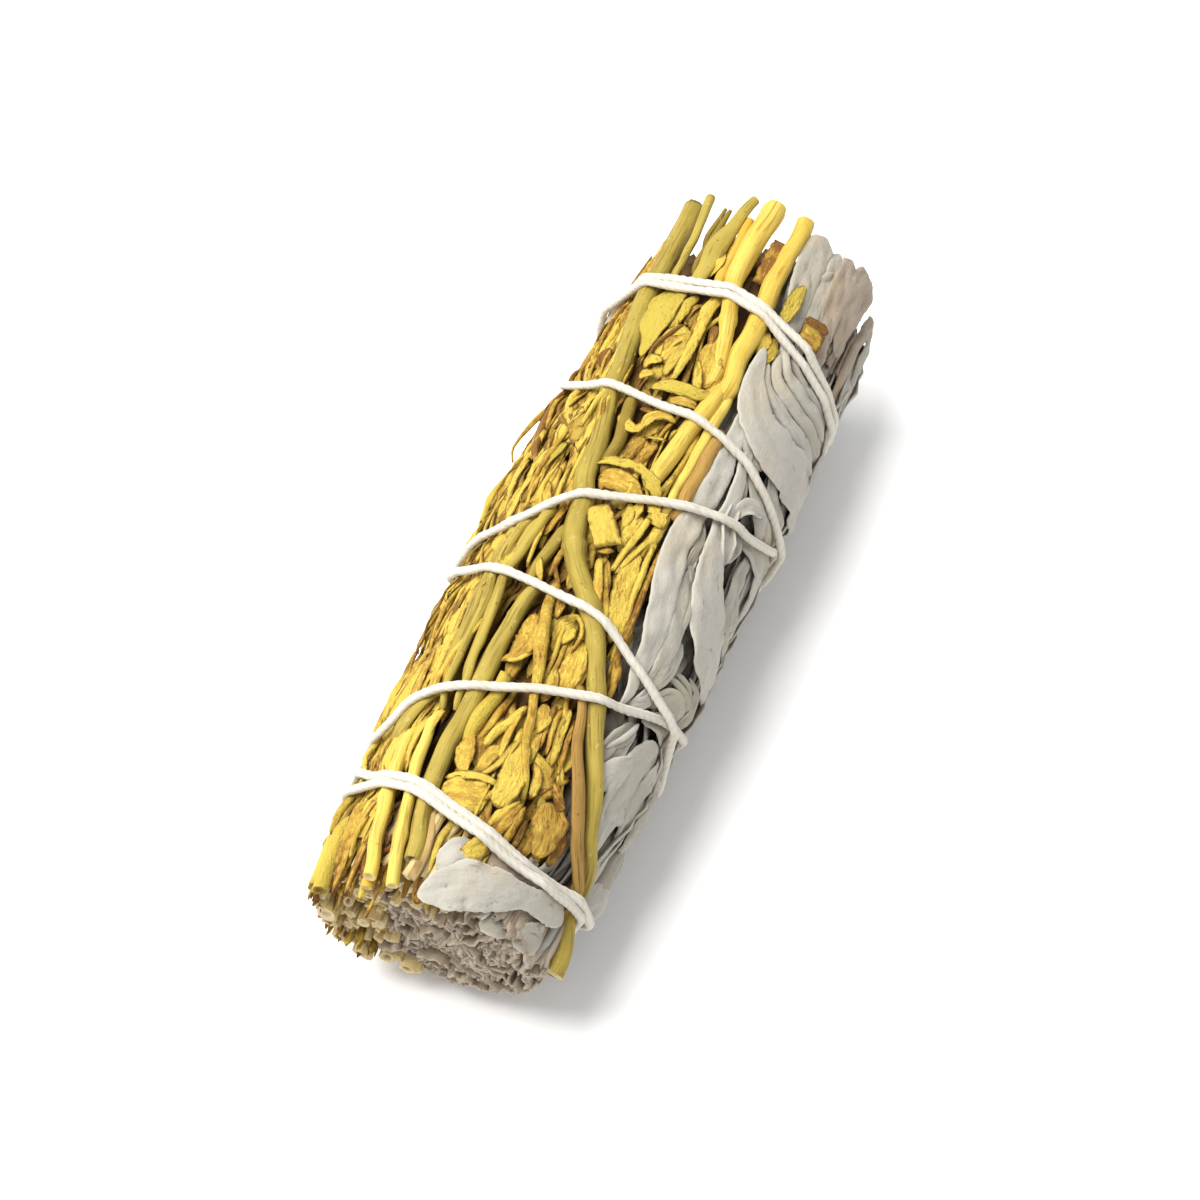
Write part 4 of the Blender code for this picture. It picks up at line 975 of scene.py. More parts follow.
# The leaves that are seen from above, placed one by one.
SAGE = read_table(leaf, Bend, """
end_leaf
  -52.7 1.5, -52 5, -51.1 9, -50.4 14, -49.3 20, -48.7 27, -47.9 34, -47.4 40, -46.5 47, -45.8 55, -45.2 63,
    -44.7 70, -44.2 77, -44.2 84 | 1.4 3.4 5 5.8 5.3 5 4.3 3.2 2.7 3.1 3.3 3.4 2.8 1.2 | .1 | folded .4,
    tilt -4 -8 -12 -8 -4, thick .26, crease .05, crumple .1, ragged .03, columns 26, raised .55, droop .3,
    sharp .4
  -48.6 3, -46.4 9, -44.4 17 | 2.4 4 2.2 | .05 | raised -.1
  -49.9 58, -48.6 68, -47.2 83 | 2.4 3.8 3 | .6 FLAT | raised -.4
  -51 37, -50 48, -48.8 59 | 2 3 2 | 1.3 FLAT | raised -1
  -51 36, -49.9 36.5, -49 37 | .9 .9 .7 | .1 ROLLED | raised -.4
  -48.3 84, -45.3 80, -40.8 82 | 3 3.6 3 | .55 FLAT | raised -1.2
long_leaf
  -20.8 44, -18 43.5, -14 42.5, -8 37.8, -4 33.8, .9 30.8, 6 32, 11 33.5, 17.4 33, 22 30.5 |
    .5 2 3.1 3.6 3.5 3.2 3.2 2.9 2.6 1.5 | .3 | crease .08, folded .7, step .7, raised .45
lens_leaf
  -17 49, -14 50, -10.5 49.8, -7.5 48.3, -4.3 45, -.8 41.5 | .3 1.7 2.4 3 2.6 1.1 | .55 | folded .7, raised .3
  -1.5 42, 1.8 40, 6.8 38.5 | 1.4 1.3 .3 | 1.3 EDGES_UP | folded .5, raised 0
  -2.2 47, -.8 43, .2 40 | .8 1 .4 | .6 | raised 0
near_leaf_1
  -28 46.5, -25.5 50, -23 53.5, -20.4 57 | 1.6 3.4 3 .8 | 1.1 EDGES_UP | folded .4, raised -.2
  -26 46.5, -24.2 50.5, -21.8 54.5, -20.2 57.8 | .4 .7 .7 .4 | -.1 VALLEY | thick .25, raised .4
  -30 53.5, -28.2 55.5, -26 60, -23.6 64.5 | 3.2 3.6 2.4 .6 | 0 | folded .4, raised .35, twist 2
  -36.2 76.5, -33.5 72, -30 69, -26.5 70, -23 76, -20 86 | 1.5 3.8 6 7 6.6 3 | .5 | crease .12, folded .5,
    raised .15, twist 2
  -31.5 92, -28.5 86, -25 86, -21.5 95 | 3 4.8 5 2.5 | .65 | raised .45
  -34.2 82, -35.6 84.5, -37 88 | .3 .45 .3 | .1 FLAT | thick .25, raised -.6
near_leaf_2
  -16.6 52.5, -13.8 54.5, -11.2 55.5, -8.7 56.5 | 1 2.8 3.2 1.6 | .5 | raised .1
  -19.4 47, -18.4 51, -17 54, -15.6 57 | .8 2.1 2 .7 | .3 EDGES_UP | folded .8, raised .2
  -17.5 59, -15.4 63, -14.4 72, -14.2 90 | 1 2.8 3 1.6 | .6 | raised .1
  -12.9 60, -12.4 68, -12.3 80, -12.6 102 | .5 1.2 1.3 .6 | 1.1 VALLEY | raised .1
  -11.5 63, -11.2 70, -11.3 84, -11.5 102 | .5 1 1.1 .6 | 1.2 VALLEY | raised 0
  -9.9 75, -9.8 84, -10 102 | .5 1.2 .8 | .9 VALLEY | raised 0
  -19.4 60, -17.9 68, -17.2 82, -17 98 | .8 2.8 3 1.4 | .75 | raised .1
broad_leaf
  18.4 41.5, 13.3 43, 9.2 44.5, 5.1 45.5, 1.5 49, -2 56, -5.2 67.5, -6.8 82.5, -8.6 108.5 |
    1.2 1.8 2.1 2.8 5 6.9 6.6 4 .5 | 0 | crease .03, crumple .1, folded .6, raised .75
  9.2 76.5, 5.7 73.5, 2.2 77, -1.8 92, -6.3 108 | 1.5 3.6 5 4.6 .8 | .65 | folded .8, raised -.15
  8.7 102.5, 3.2 105, -2.8 110, -8.8 117.5 | 1.2 4.4 4.6 .8 | .5 | raised -.45
curled_leaf
  10.7 45.5, 7.4 47.5, 4.9 50.5, 3.3 56 | 1.6 2.5 3 1.2 | .3 TROUGH | folded 1.1, raised .75
  9.6 55, 6.3 56, 3.9 57 | 1.4 2.6 1.2 | .6 EDGES_UP
  8.5 49, 10.4 49, 11.9 53.5, 13 63 | .9 1.9 2.3 .7 | .35 EDGES_UP | tilt 0 20 10, raised .9
  8.9 61.5, 9.1 71, 9.5 93.5 | 1.5 2.6 1.4 | .55 | raised .15
narrow_leaf
  17.4 47.5, 14.7 55, 13.1 64.5, 12.1 78, 11 106.5 | 1.2 3.2 3.8 3.2 .8 | .5 | folded .8
  18.8 59.5, 16.8 69, 15.6 86, 14.8 110.5 | 1 3 3.4 1.2 | .35 | raised .05
  17.1 40, 14.1 45.5, 11.4 52 | .7 1.5 .6 | .75 | raised .05
draped_leaf
  31.4 25, 26.5 27.5, 22.6 34.5, 21 44, 20.7 56, 21 69.5, 21.2 90.5, 20.6 116.5 |
    .8 2.6 5.2 6.6 7.2 6.6 4.8 1.4 | -.05 | crease .02, crumple .1, folded .7, raised .95
  23.1 28, 20 32.5, 18 40, 17.6 52 | .8 1.4 1.4 .8 | .25 ROLLED
folded_leaf
  30.2 29, 27.2 34, 25.8 43.5, 25.4 56, 25.8 71.5, 25.6 108.5 | .9 2.2 2.6 2.8 2.6 1.2 | .25 ROLLED |
    folded .6, raised .65
  32.6 32, 29.2 36.5, 28 45.5, 27.9 58.5, 28.3 74.5, 28 109 | .9 2.1 2.4 2.6 2.4 1.2 | .45 ROLLED | folded .6,
    raised .65
  36.4 33, 32.2 36.5, 30.4 44.5, 30 57, 30.5 75, 30.2 109 | .8 1.9 2.3 2.5 2.2 1 | .3 ROLLED | folded .6,
    raised .65
  36.7 39.5, 33.8 41.5, 32.5 49.5, 32.2 60.5, 32.6 77.5, 32.6 108 | .7 1.7 2.1 2.2 2 1 | .5 ROLLED | folded .6
  37.2 49.5, 34.8 52.5, 34.1 62.5, 34.2 79.5, 34.4 108 | .7 1.6 2 2 1 | .4 ROLLED | folded .6
  26.8 81.5, 24.6 92, 22.7 112.5 | 1 3 1 | .4
far_leaf_1
  33.7 35, 37.7 32, 42.2 28.5, 47.1 27, 52 27.5 | 1.2 2.8 3.6 4.1 4 | .75 | blunt 1.8, folded .8
  46.1 31.5, 46.2 35, 48.3 38.5 | 1.6 1.8 1 | .65 ROLLED
  34.2 43.5, 39 39.5, 44.3 37.5, 51.6 38 | 1 2 2.4 2.4 | .6 ROLLED | blunt 1.2, folded .5
far_leaf_3
  35.2 104, 40.2 98, 45.2 91, 50.8 93.5 | 1.5 3.4 4.2 4 | .7
  35.2 112, 41.2 112, 47.2 109.5, 51.2 107.5 | 1.5 4 4.6 3.6 | .55 | raised .05
near_leaf_3
  -31.9 65, -30.8 71, -29.1 83, -27.2 94.5, -26.2 119 | .9 2.4 2.8 2.6 .8 | .35 ROLLED | folded .5
  -34.2 104.5, -32.2 108.5, -29.4 121 | 2.2 4.6 2 | .8 | raised -.35
  -38.4 112, -36.5 106, -34.4 118 | 1.4 3.4 2 | .3 | raised .15
  -24.4 110, -21.8 92.5, -18.8 94.5 | 1.2 3.4 1.2 | .25 TROUGH | folded .7
  -27.8 84.5, -23.5 83, -18.6 93.5 | 1 2.8 1 | .5
  -45.3 110, -42.1 101.5, -37.8 113.5 | 2.2 4.6 2.4 | .3 | raised .15
  -25.8 119, -19.8 104, -12.8 116.5 | 1.5 4.6 1.8 | .5 | raised .05
  -31.5 101, -28.5 98, -25.5 101, -21 110 | 3 5.2 5.4 2 | .8 | raised 1.2
  -31 101, -33.2 100, -35.5 99.5, -37.5 100 | 3 3.6 3.6 2.6 | 1.35 ROLLED | folded .6, tilt -25, raised 1.35,
    droop .1
  -35.8 98, -37.5 98.5, -39.3 99, -41.5 100 | 1.6 3.8 4.2 2.6 | -.4 FLAT | tilt -40, raised 1.2, droop .1
""")

# The browner leaves at the far end.
BROWN_SAGE = read_table(leaf, Bend, """
far_leaf_2
  34.7 54.5, 38.8 49.5, 43.4 46, 52.2 46 | 1.6 3.4 3.6 3.6 | .15
  39.7 63, 43.3 57, 47.1 57.5, 53.2 61.5 | 1.6 4.4 5.6 5.6 | .45 | crease .04
  35.8 83, 40.2 79, 46.2 80, 52.2 89.5 | 1.4 2.4 3 3 | .3 ROLLED | folded .5, raised -.05
""")

# The leaves on the sides that lie away from the light, and the areas that they cover.
HIDDEN_ROWS = read_areas("""
side_leaf_1 -49 1 88 113
side_leaf_2 1.6 48 88 113
side_leaf_3 -48 48 113 139
side_leaf_4 -47.5 47.5 139 166
under_leaf_1 -47 -8.8 166 194
under_leaf_2 2.7 47 166 194
under_leaf_3 -47.5 47.5 194 220
resting_leaf -8.3 2.1 167 193
""")

# Where more sage lies under the leaves that are seen, and with which of them it goes.
BEDS = read_areas("""
near_leaf_1 -47 -20 42 96
near_leaf_2 -24 -5 34 96
curled_leaf -6 18 28 96
draped_leaf 14 34 26 96
far_leaf_1 31 50.5 22 60
far_leaf_3 31 50.5 56 96
""")

# What is packed inside: the turns from and to, and radii from and to.
SECTORS = read_areas("""
centre_sprig 0 360 0 5.6
inner_sprig_1 24 90 5.6 13.6
inner_sprig_2 90 155 5.6 13.2
inner_sprig_3 155 220 5.6 12.6
inner_stalks_1 -140 -58 5.6 13
inner_stalks_2 -58 24 5.6 13
""")


# ---- the string


# The string's place x at each turn, counted on from one time round to the next.
STRING_ROUTE = [numbers(point) for point in """
    -240 -44.4, -200 -44, -120 -42.4, -60 -40.9, -40 -41.2, -20 -41.7, 0 -42.9, 20 -43.7, 40 -44, 60 -43.5,
    80 -42.3, 100 -41.9, 150 -41.6, 200 -39.5, 250 -36.7, 300 -33.7, 322 -29.3, 345 -27.4, 370 -24.7,
    400 -21.5, 425 -18, 445 -15.9, 480 -13.2, 540 -10.2, 600 -7.6, 640 -5.6, 660 -4.8, 680 -4, 700 -0.2,
    720 2.4, 740 4.7, 760 6.9, 780 8.8, 800 11.6, 820 15, 850 17.8, 900 22.6, 960 29.4, 1000 35.4, 1020 37.3,
    1040 37.4, 1060 37.2, 1080 37.1, 1090 36.6, 1100 36, 1110 35.4, 1120 34.9, 1130 34.6, 1140 34.5,
    1160 34.4, 1210 34.3, 1260 34.4, 1320 35, 1360 35.7, 1380 36.1, 1400 36.3, 1420 36.1, 1440 35.9,
    1450 35.5, 1460 35, 1470 34.3, 1480 33.8, 1490 33.4, 1500 33.1, 1520 32.7, 1570 31.5, 1620 30.5,
    1680 28.3, 1720 24.4, 1740 20.8, 1760 18.9, 1780 18, 1800 17, 1820 16.6, 1840 16.2, 1860 15.2, 1880 14.9,
    1900 13.6, 1950 8.5, 2000 2.5, 2050 -3.5, 2080 -7.2, 2100 -9.9, 2120 -11, 2140 -12, 2160 -13, 2180 -14,
    2200 -15.8, 2220 -17, 2240 -18, 2290 -23.5, 2340 -28.6, 2400 -34.6, 2440 -37.4, 2460 -38.9, 2475 -40.1,
    2490 -40.35, 2500 -40.65, 2520 -41.85, 2540 -42.65, 2560 -42.95, 2580 -42.45, 2600 -41.25, 2635 -40.3
""".split(",")]


@dataclass
class Route:
    """The string's way round the stick, read at even turns."""

    step: float = 3.0
    turns: np.ndarray = field(init=False)
    places: np.ndarray = field(init=False)

    def __post_init__(self) -> None:
        """Reads the route's points as a smooth curve that never swings past them."""
        knots = np.array(STRING_ROUTE, float)
        self.turns = np.arange(knots[0, 0], knots[-1, 0] + self.step / 2, self.step)
        slope = np.diff(knots[:, 1]) / np.diff(knots[:, 0])
        tangent = np.concatenate([slope[:1], np.zeros(len(slope) - 1), slope[-1:]])
        same = slope[:-1] * slope[1:] > 0
        means = 2 * slope[:-1] * slope[1:] / np.where(same, slope[:-1] + slope[1:], 1)
        tangent[1:-1] = np.where(same, means, 0)
        at = np.clip(np.searchsorted(knots[:, 0], self.turns, side="right") - 1, 0, len(slope) - 1)
        span = knots[at + 1, 0] - knots[at, 0]
        t = np.clip((self.turns - knots[at, 0]) / span, 0, 1)
        self.places = (
            (1 + 2 * t) * (1 - t) ** 2 * knots[at, 1]
            + t * (1 - t) ** 2 * span * tangent[at]
            + t * t * (3 - 2 * t) * knots[at + 1, 1]
            + t * t * (t - 1) * span * tangent[at + 1]
        )


class Press:
    """How deep the string presses soft leaves in, over the whole skin."""

    def __init__(self, route: Route, deepest: float = 0.65, reach: float = 1.5, cell: float = 0.4) -> None:
        """Works the depth out on a grid.

        Args:
            route: the string's way round.
            deepest: the depth right under it, in millimetres.
            reach: how far to its sides the leaf is drawn down.
            cell: the grid's spacing.
        """
        self.cell = cell
        self.round = 2 * math.pi * ROLL
        self.wide = math.ceil(self.round / cell)
        x = np.arange(-SPAN, SPAN, cell)
        arc = np.arange(self.wide) * cell
        string_x = np.interp(np.arange(route.turns[0], route.turns[-1]), route.turns, route.places)
        string_arc = np.radians(np.arange(route.turns[0], route.turns[-1])) * ROLL % self.round
        nearest = np.full((len(x), self.wide), 9.0)
        for px, pa in zip(string_x, string_arc):
            i = np.abs(x - px) < 3 * reach
            gap = np.abs(arc - pa)
            gap = np.minimum(gap, self.round - gap)
            j = gap < 3 * reach
            away = np.hypot((x[i] - px)[:, None], gap[j][None])
            block = np.ix_(i, j)
            nearest[block] = np.minimum(nearest[block], away)
        self.depths = deepest * np.exp(-((nearest / reach) ** 2))

    def depth(self, x: np.ndarray, arc: np.ndarray) -> np.ndarray:
        """The depth at places on the skin, in millimetres."""
        i = np.clip((x + SPAN) / self.cell, 0, len(self.depths) - 1.001)
        j = (arc % self.round) / self.cell % self.wide
        i0, j0 = i.astype(int), j.astype(int) % self.wide
        i1, j1 = i0 + 1, (j0 + 1) % self.wide
        fi, fj = i - i0, j - np.floor(j)
        near = self.depths[i0, j0] * (1 - fj) + self.depths[i0, j1] * fj
        far = self.depths[i1, j0] * (1 - fj) + self.depths[i1, j1] * fj
        return near * (1 - fi) + far * fi


@dataclass
class Binding:
    """The cotton string, drawn tight round everything beneath it."""

    skin: Skin
    route: Route
    radius: float = 0.57
    lobes: int = 3
    lobe_depth: float = 0.16
    lay_length: float = 3.4
    sides: int = 14
    ring_step: float = 0.3
    cell: float = 0.3
    sink: float = 0.12
    deepest: float = 1.9
    strays: int = 3
    crossing_reach: float = 0.85
    crossing_height: float = 1.8
    fuzz: int = 420
    keep: float = 0.7
    seed: int = 77

    def heights_beneath(self, heaps: Iterable[Heap]) -> np.ndarray:
        """The highest thing on the stick's skin over a grid of x and turn, as a radius."""
        x_cells, turn_cells = math.ceil(2 * SPAN / self.cell), 360
        highest = np.zeros((x_cells, turn_cells))
        for heap in heaps:
            points = heap.stack("points") - np.array(self.skin.axis)
            reach = np.hypot(points[:, 1], points[:, 2])
            i = np.clip(((points[:, 0] + SPAN) / self.cell).astype(int), 0, x_cells - 1)
            j = np.degrees(np.arctan2(-points[:, 1], points[:, 2])).astype(int) % turn_cells
            np.maximum.at(highest, (i, j), reach)
        return highest

    def line(self, heaps: Iterable[Heap]) -> np.ndarray:
        """The string's middle line from the axis, tight over all the heaps."""
        highest = self.heights_beneath(heaps)
        turns, places = self.route.turns, self.route.places
        heights = []
        for turn, x in zip(turns, places):
            i = int((x + SPAN) / self.cell)
            j = np.arange(int(turn) - 2, int(turn) + 3) % 360
            under = highest[i - 2 : i + 3][:, j]
            under = np.sort(under.ravel())[-self.strays]
            least = self.skin.radius(np.array(x), np.radians(turn)) - self.deepest
            heights.append(max(float(under) - self.sink, float(least)) + self.radius)
        heights = np.array(heights)
        over = self.crossings()
        tight = self.pull_tight(heights)
        for _ in range(4):
            for later, earlier in over:
                heights[later] = max(heights[later], tight[earlier] + self.crossing_height * self.radius)
            tight = self.pull_tight(heights)
        turn = np.radians(turns)
        return np.stack([places, -tight * np.sin(turn), tight * np.cos(turn)], axis=1)

    def pull_tight(self, heights: np.ndarray) -> np.ndarray:
        """Raises every point that lies inside the line between its neighbours."""
        tight = heights.copy()
        step = math.radians(self.route.step)
        for _ in range(400):
            before, after = tight[:-2], tight[2:]
            chord = before * after * math.sin(2 * step) / ((before + after) * math.sin(step))
            raised = np.maximum(tight[1:-1], chord - 0.004)
            if np.abs(raised - tight[1:-1]).max() < 1e-4:
                break
            tight[1:-1] = raised
        return tight

    def crossings(self) -> list[tuple[int, int]]:
        """Pairs of places where a later pass lies across an earlier one."""
        turns, places = self.route.turns, self.route.places
        whole = round(360 / self.route.step)
        found = []
        for k in range(whole // 2, len(turns)):
            for earlier in range(k - whole, -1, -whole):
                for shift in range(-4, 5):
                    if not 0 <= earlier + shift < len(turns):
                        continue
                    along = math.radians(shift * self.route.step) * self.skin.mean
                    if math.hypot(places[k] - places[earlier + shift], along) < self.crossing_reach:
                        found.append((k, earlier + shift))
        return found

    def build(self, heaps: Sequence[Heap], material: bpy.types.Material) -> bpy.types.Object:
        """Makes the string: three plies twisted together, with loose fibres standing off them."""
        heap = Heap(self.skin, self.seed)
        knots = self.line(heaps)
        fine = spline(knots, np.linspace(0, 1, len(knots) * 6))
        long = run_along(fine)[-1]
        even = np.linspace(0, long, int(long / self.ring_step))
        middle = even_points(fine, len(even))
        smoothing = np.array([1, 2, 3, 2, 1]) / 9
        padded = np.pad(middle, ((2, 2), (0, 0)), mode="edge")
        middle = np.stack([np.convolve(padded[:, i], smoothing, "valid") for i in range(3)], axis=1)
        ahead, outward, sideways = tube_axes(middle, middle * np.array([0, 1, 1]))
        turn = np.linspace(0, 2 * math.pi, self.sides, endpoint=False)
        lay = self.lay_length * (1 + 0.12 * swell(even[:, None], 30.0, 5))
        twist = np.cumsum(2 * math.pi * self.ring_step / lay)
        lobe = np.abs(np.cos(self.lobes / 2 * (turn[None] - twist[:, None])))
        thick = self.radius * (1 + 0.05 * swell(even[:, None], 7.0, 6) + 0.03 * swell(even[:, None], 1.5, 7))
        reach = thick[:, None] * (1 - self.lobe_depth + self.lobe_depth * lobe**0.7)
        squash = 0.93
        rings = (
            middle[:, None]
            + outward[:, None] * (np.cos(turn) * reach)[..., None] * squash
            + sideways[:, None] * (np.sin(turn) * reach)[..., None]
        )
        grain = stack_grain(rings.shape, even[:, None], (turn[None] - twist[:, None]) * self.radius, 3.0)
        # valley marks the grooves between the plies, which the cotton finish paints in shade.
        valley = (1 - lobe) ** 2
        heap.rings(self.skin.at_axis(rings), 0.5, grain=grain, rim=np.zeros((1, 1)), crease=valley)
        self.add_fuzz(heap, middle, outward, sideways, ahead)
        return heap.finish("string_twine", material, ["string"], self.keep)

    def add_fuzz(
        self, heap: Heap, middle: np.ndarray, outward: np.ndarray, sideways: np.ndarray, ahead: np.ndarray
    ) -> None:
        """Adds loose fibres that stand off the string.

        Args:
            heap: the string's own piece.
            middle: its middle line.
            outward: the direction off the stick, at each point of it.
            sideways: the direction across it.
            ahead: the direction along it.
        """
        for _ in range(self.fuzz):
            k = int(heap.dice.integers(4, len(middle) - 4))
            turn = heap.dice.uniform(-2.0, 2.0)
            away = outward[k] * math.cos(turn) + sideways[k] * math.sin(turn)
            lean = ahead[k] * heap.dice.uniform(-1.5, 1.5)
            length = heap.dice.uniform(0.3, 1.0)
            start = middle[k] + away * self.radius * 0.8
            bend = heap.dice.normal(size=3) * 0.4
            t = np.linspace(0, 1, 5)[:, None]
            centres = start + (away + lean) * t * length * 0.6 + bend * t**2 * length * 0.5
            thin_tube(heap, self.skin.at_axis(centres), 0.016, 0.5)


def thin_tube(heap: Heap, centres: np.ndarray, radius: float, tone: float, sides: int = 4) -> None:
    """Adds a fibre or thread.

    Args:
        heap: the piece that it belongs to.
        centres: its middle line in the frame, in millimetres.
        radius: its radius at the root, from which it thins.
        tone: which colour it leans to.
        sides: how many sides it has.
    """
    ahead = unit(np.gradient(centres, axis=0))
    upward = unit(np.cross(ahead, np.array([0.3, 0.5, 0.8])))
    sideways = np.cross(ahead, upward)
    turn = np.linspace(0, 2 * math.pi, sides, endpoint=False)
    thin = radius * np.linspace(1, 0.35, len(centres))[:, None]
    rings = (
        centres[:, None]
        + upward[:, None] * (np.cos(turn) * thin)[..., None]
        + sideways[:, None] * (np.sin(turn) * thin)[..., None]
    )
    count = len(centres)
    grain = np.zeros((count, sides, 3))
    grain[..., 0] = np.linspace(0, 3, count)[:, None]
    heap.rings(rings, tone, grain=grain, rim=np.zeros((1, 1)), crease=np.zeros((1, 1)))


# ---- shaders


def paint(red: int, green: int, blue: int) -> Colour:
    """The pigment that looks like the given colour, from 0 to 255, in the studio's light."""
    linear = [((c / 255 + 0.055) / 1.055) ** 2.4 if c > 10 else c / 255 / 12.92 for c in (red, green, blue)]
    return (*(value / STUDIO_LIGHT for value in linear), 1.0)


class Shade:
    """A value or colour inside a shader. Adding, multiplying and so on add Math nodes."""

    def __init__(self, bench: "Bench", socket: bpy.types.NodeSocket) -> None:
        """Wraps the socket that carries the value."""
        self.bench = bench
        self.socket = socket

    def math(self, operation: str, other: "Shade | float", flipped: bool = False) -> "Shade":
        """Joins this value and another by one Math node."""
        pair = (other, self) if flipped else (self, other)
        node = self.bench.node("ShaderNodeMath", {"operation": operation}, {0: pair[0], 1: pair[1]})
        return Shade(self.bench, node.outputs[0])

    def __add__(self, other: "Shade | float") -> "Shade":
        """Adds."""
        return self.math("ADD", other)

    def __radd__(self, other: float) -> "Shade":
        """Adds to a number."""
        return self.math("ADD", other, True)

    def __sub__(self, other: "Shade | float") -> "Shade":
        """Subtracts."""
        return self.math("SUBTRACT", other)

    def __rsub__(self, other: float) -> "Shade":
        """Subtracts from a number."""
        return self.math("SUBTRACT", other, True)

    def __mul__(self, other: "Shade | float") -> "Shade":
        """Multiplies."""
        return self.math("MULTIPLY", other)

    def __pow__(self, other: float) -> "Shade":
        """Raises to a power."""
        return self.math("POWER", other)

    def between(self, low: float, high: float) -> "Shade":
        """Where this value stands between two numbers, from 0 to 1."""
        node = self.bench.node(
            "ShaderNodeMapRange", {"interpolation_type": "SMOOTHSTEP"},
            {"Value": self, "From Min": low, "From Max": high},
        )
        return Shade(self.bench, node.outputs["Result"])


class Bench:
    """The nodes of one finish."""

    def __init__(self, name: str) -> None:
        """Starts an empty material."""
        self.material = bpy.data.materials.new(name)
        self.material.use_nodes = True
        self.tree = self.material.node_tree
        self.tree.nodes.clear()

    def node(self, kind: str, settings: dict[str, Any], sockets: dict[str | int, Any]) -> bpy.types.Node:
        """Adds a node.

        Args:
            kind: its type.
            settings: its own settings, made before anything is joined to it.
            sockets: the values or shades of its inputs.

        Returns:
            The node.
        """
        node = self.tree.nodes.new(kind)
        for name, value in settings.items():
            setattr(node, name, value)
        for name, value in sockets.items():
            if isinstance(value, Shade):
                self.tree.links.new(value.socket, node.inputs[name])
            else:
                node.inputs[name].default_value = value
        return node

    def fact(self, name: str) -> Shade:
        """A value that the mesh carries."""
        return Shade(self, self.node("ShaderNodeAttribute", {"attribute_name": name}, {}).outputs["Fac"])

    def grain(self, along: float, across: float) -> Shade:
        """The mesh's own grain, so many times finer along and across."""
        grain = self.node("ShaderNodeAttribute", {"attribute_name": "grain"}, {}).outputs["Vector"]
        inputs = {0: Shade(self, grain), 1: (along, across, 1.0)}
        scaled = self.node("ShaderNodeVectorMath", {"operation": "MULTIPLY"}, inputs)
        return Shade(self, scaled.outputs["Vector"])

    def noise(self, where: Shade, scale: float, detail: float = 3.0, roughness: float = 0.55) -> Shade:
        """Cloudy noise around 0.5."""
        inputs = {"Vector": where, "Scale": scale, "Detail": detail, "Roughness": roughness}
        node = self.node("ShaderNodeTexNoise", {}, inputs)
        return Shade(self, node.outputs["Fac"])

    def space(self) -> Shade:
        """Places on the piece, in millimetres."""
        place = self.node("ShaderNodeTexCoord", {}, {}).outputs["Object"]
        inputs = {0: Shade(self, place), "Scale": 1 / MM}
        scaled = self.node("ShaderNodeVectorMath", {"operation": "SCALE"}, inputs)
        return Shade(self, scaled.outputs["Vector"])

    def blend(self, factor: Shade, first: Any, second: Any) -> Shade:
        """Mixes two colours."""
        settings = {"data_type": "RGBA", "clamp_factor": True}
        node = self.node("ShaderNodeMix", settings, {0: factor, 6: first, 7: second})
        return Shade(self, node.outputs[2])

    def ramp(self, factor: Shade, stops: Sequence[tuple[float, Any]]) -> Shade:
        """A run of colours."""
        colour: Any = stops[0][1]
        for (low, _), (high, after) in zip(stops, stops[1:]):
            colour = self.blend(factor.between(low, high), colour, after)
        return colour

    def bump(self, height: Shade, strength: float, depth: float) -> Shade:
        """Bumps of the given depth in millimetres."""
        inputs = {"Height": height, "Strength": strength, "Distance": depth * MM}
        node = self.node("ShaderNodeBump", {}, inputs)
        return Shade(self, node.outputs["Normal"])

    def close(self, sockets: dict[str, Any]) -> bpy.types.Material:
        """Ends the finish with its shader, given that shader's sockets."""
        shader = self.node("ShaderNodeBsdfPrincipled", {}, sockets)
        surface = Shade(self, shader.outputs["BSDF"])
        self.node("ShaderNodeOutputMaterial", {}, {"Surface": surface})
        return self.material


@dataclass(frozen=True)
class SageFelt:
    """The felted skin of a sage leaf."""

    name: str
    pale: Colour
    deep: Colour
    warm: Colour
    shadow: Colour
    rim: Colour

    def material(self) -> bpy.types.Material:
        """Makes the finish."""
        bench = Bench(self.name)
        space = bench.space()
        tone = bench.fact("tone")
        clouds = bench.noise(space, 0.25, 3.0)
        base = bench.blend((tone + (clouds - 0.5) * 0.9).between(0.1, 0.9), self.pale, self.deep)
        base = bench.blend(bench.noise(space, 0.11, 2.0).between(0.5, 0.72) * 0.7, base, self.warm)
        veins = bench.noise(bench.grain(0.35, 1.6), 1.0, 4.0, 0.65)
        base = bench.blend((veins.between(0.56, 0.75)) * 0.3, base, self.deep)
        mottle = bench.noise(space, 0.9, 3.0, 0.6)
        base = bench.blend(mottle.between(0.52, 0.68) * 0.35, base, self.deep)
        # Painted highlight: the leaves' edges are lightened towards the rim colour.
        base = bench.blend(bench.fact("rim") ** 2 * 0.55, base, self.rim)
        # Painted shade in the bottoms of folds, and all over the packing deep inside.
        base = bench.blend(bench.fact("crease").between(0.25, 0.9) * 0.6, base, self.shadow)
        felt = bench.noise(space, 5.0, 3.0, 0.7)
        # The felt's own pale hairs, in the same rim colour.
        base = bench.blend(felt.between(0.35, 0.75) * 0.12, base, self.rim)
        # Painted shade: the deeper a point lies under the skin or behind the end face, the nearer the shadow
        # colour.
        base = bench.blend(bench.fact("depth").between(0.9, 2.8) * 0.85, base, self.shadow)
        height = veins * 0.5 + felt * 0.35 + mottle * 0.9
        return bench.close(
            {
                "Base Color": base, "Roughness": 0.95, "Specular IOR Level": 0.18, "Sheen Weight": 0.22,
                "Sheen Roughness": 0.45, "Normal": bench.bump(height, 0.85, 0.24),
            }
        )


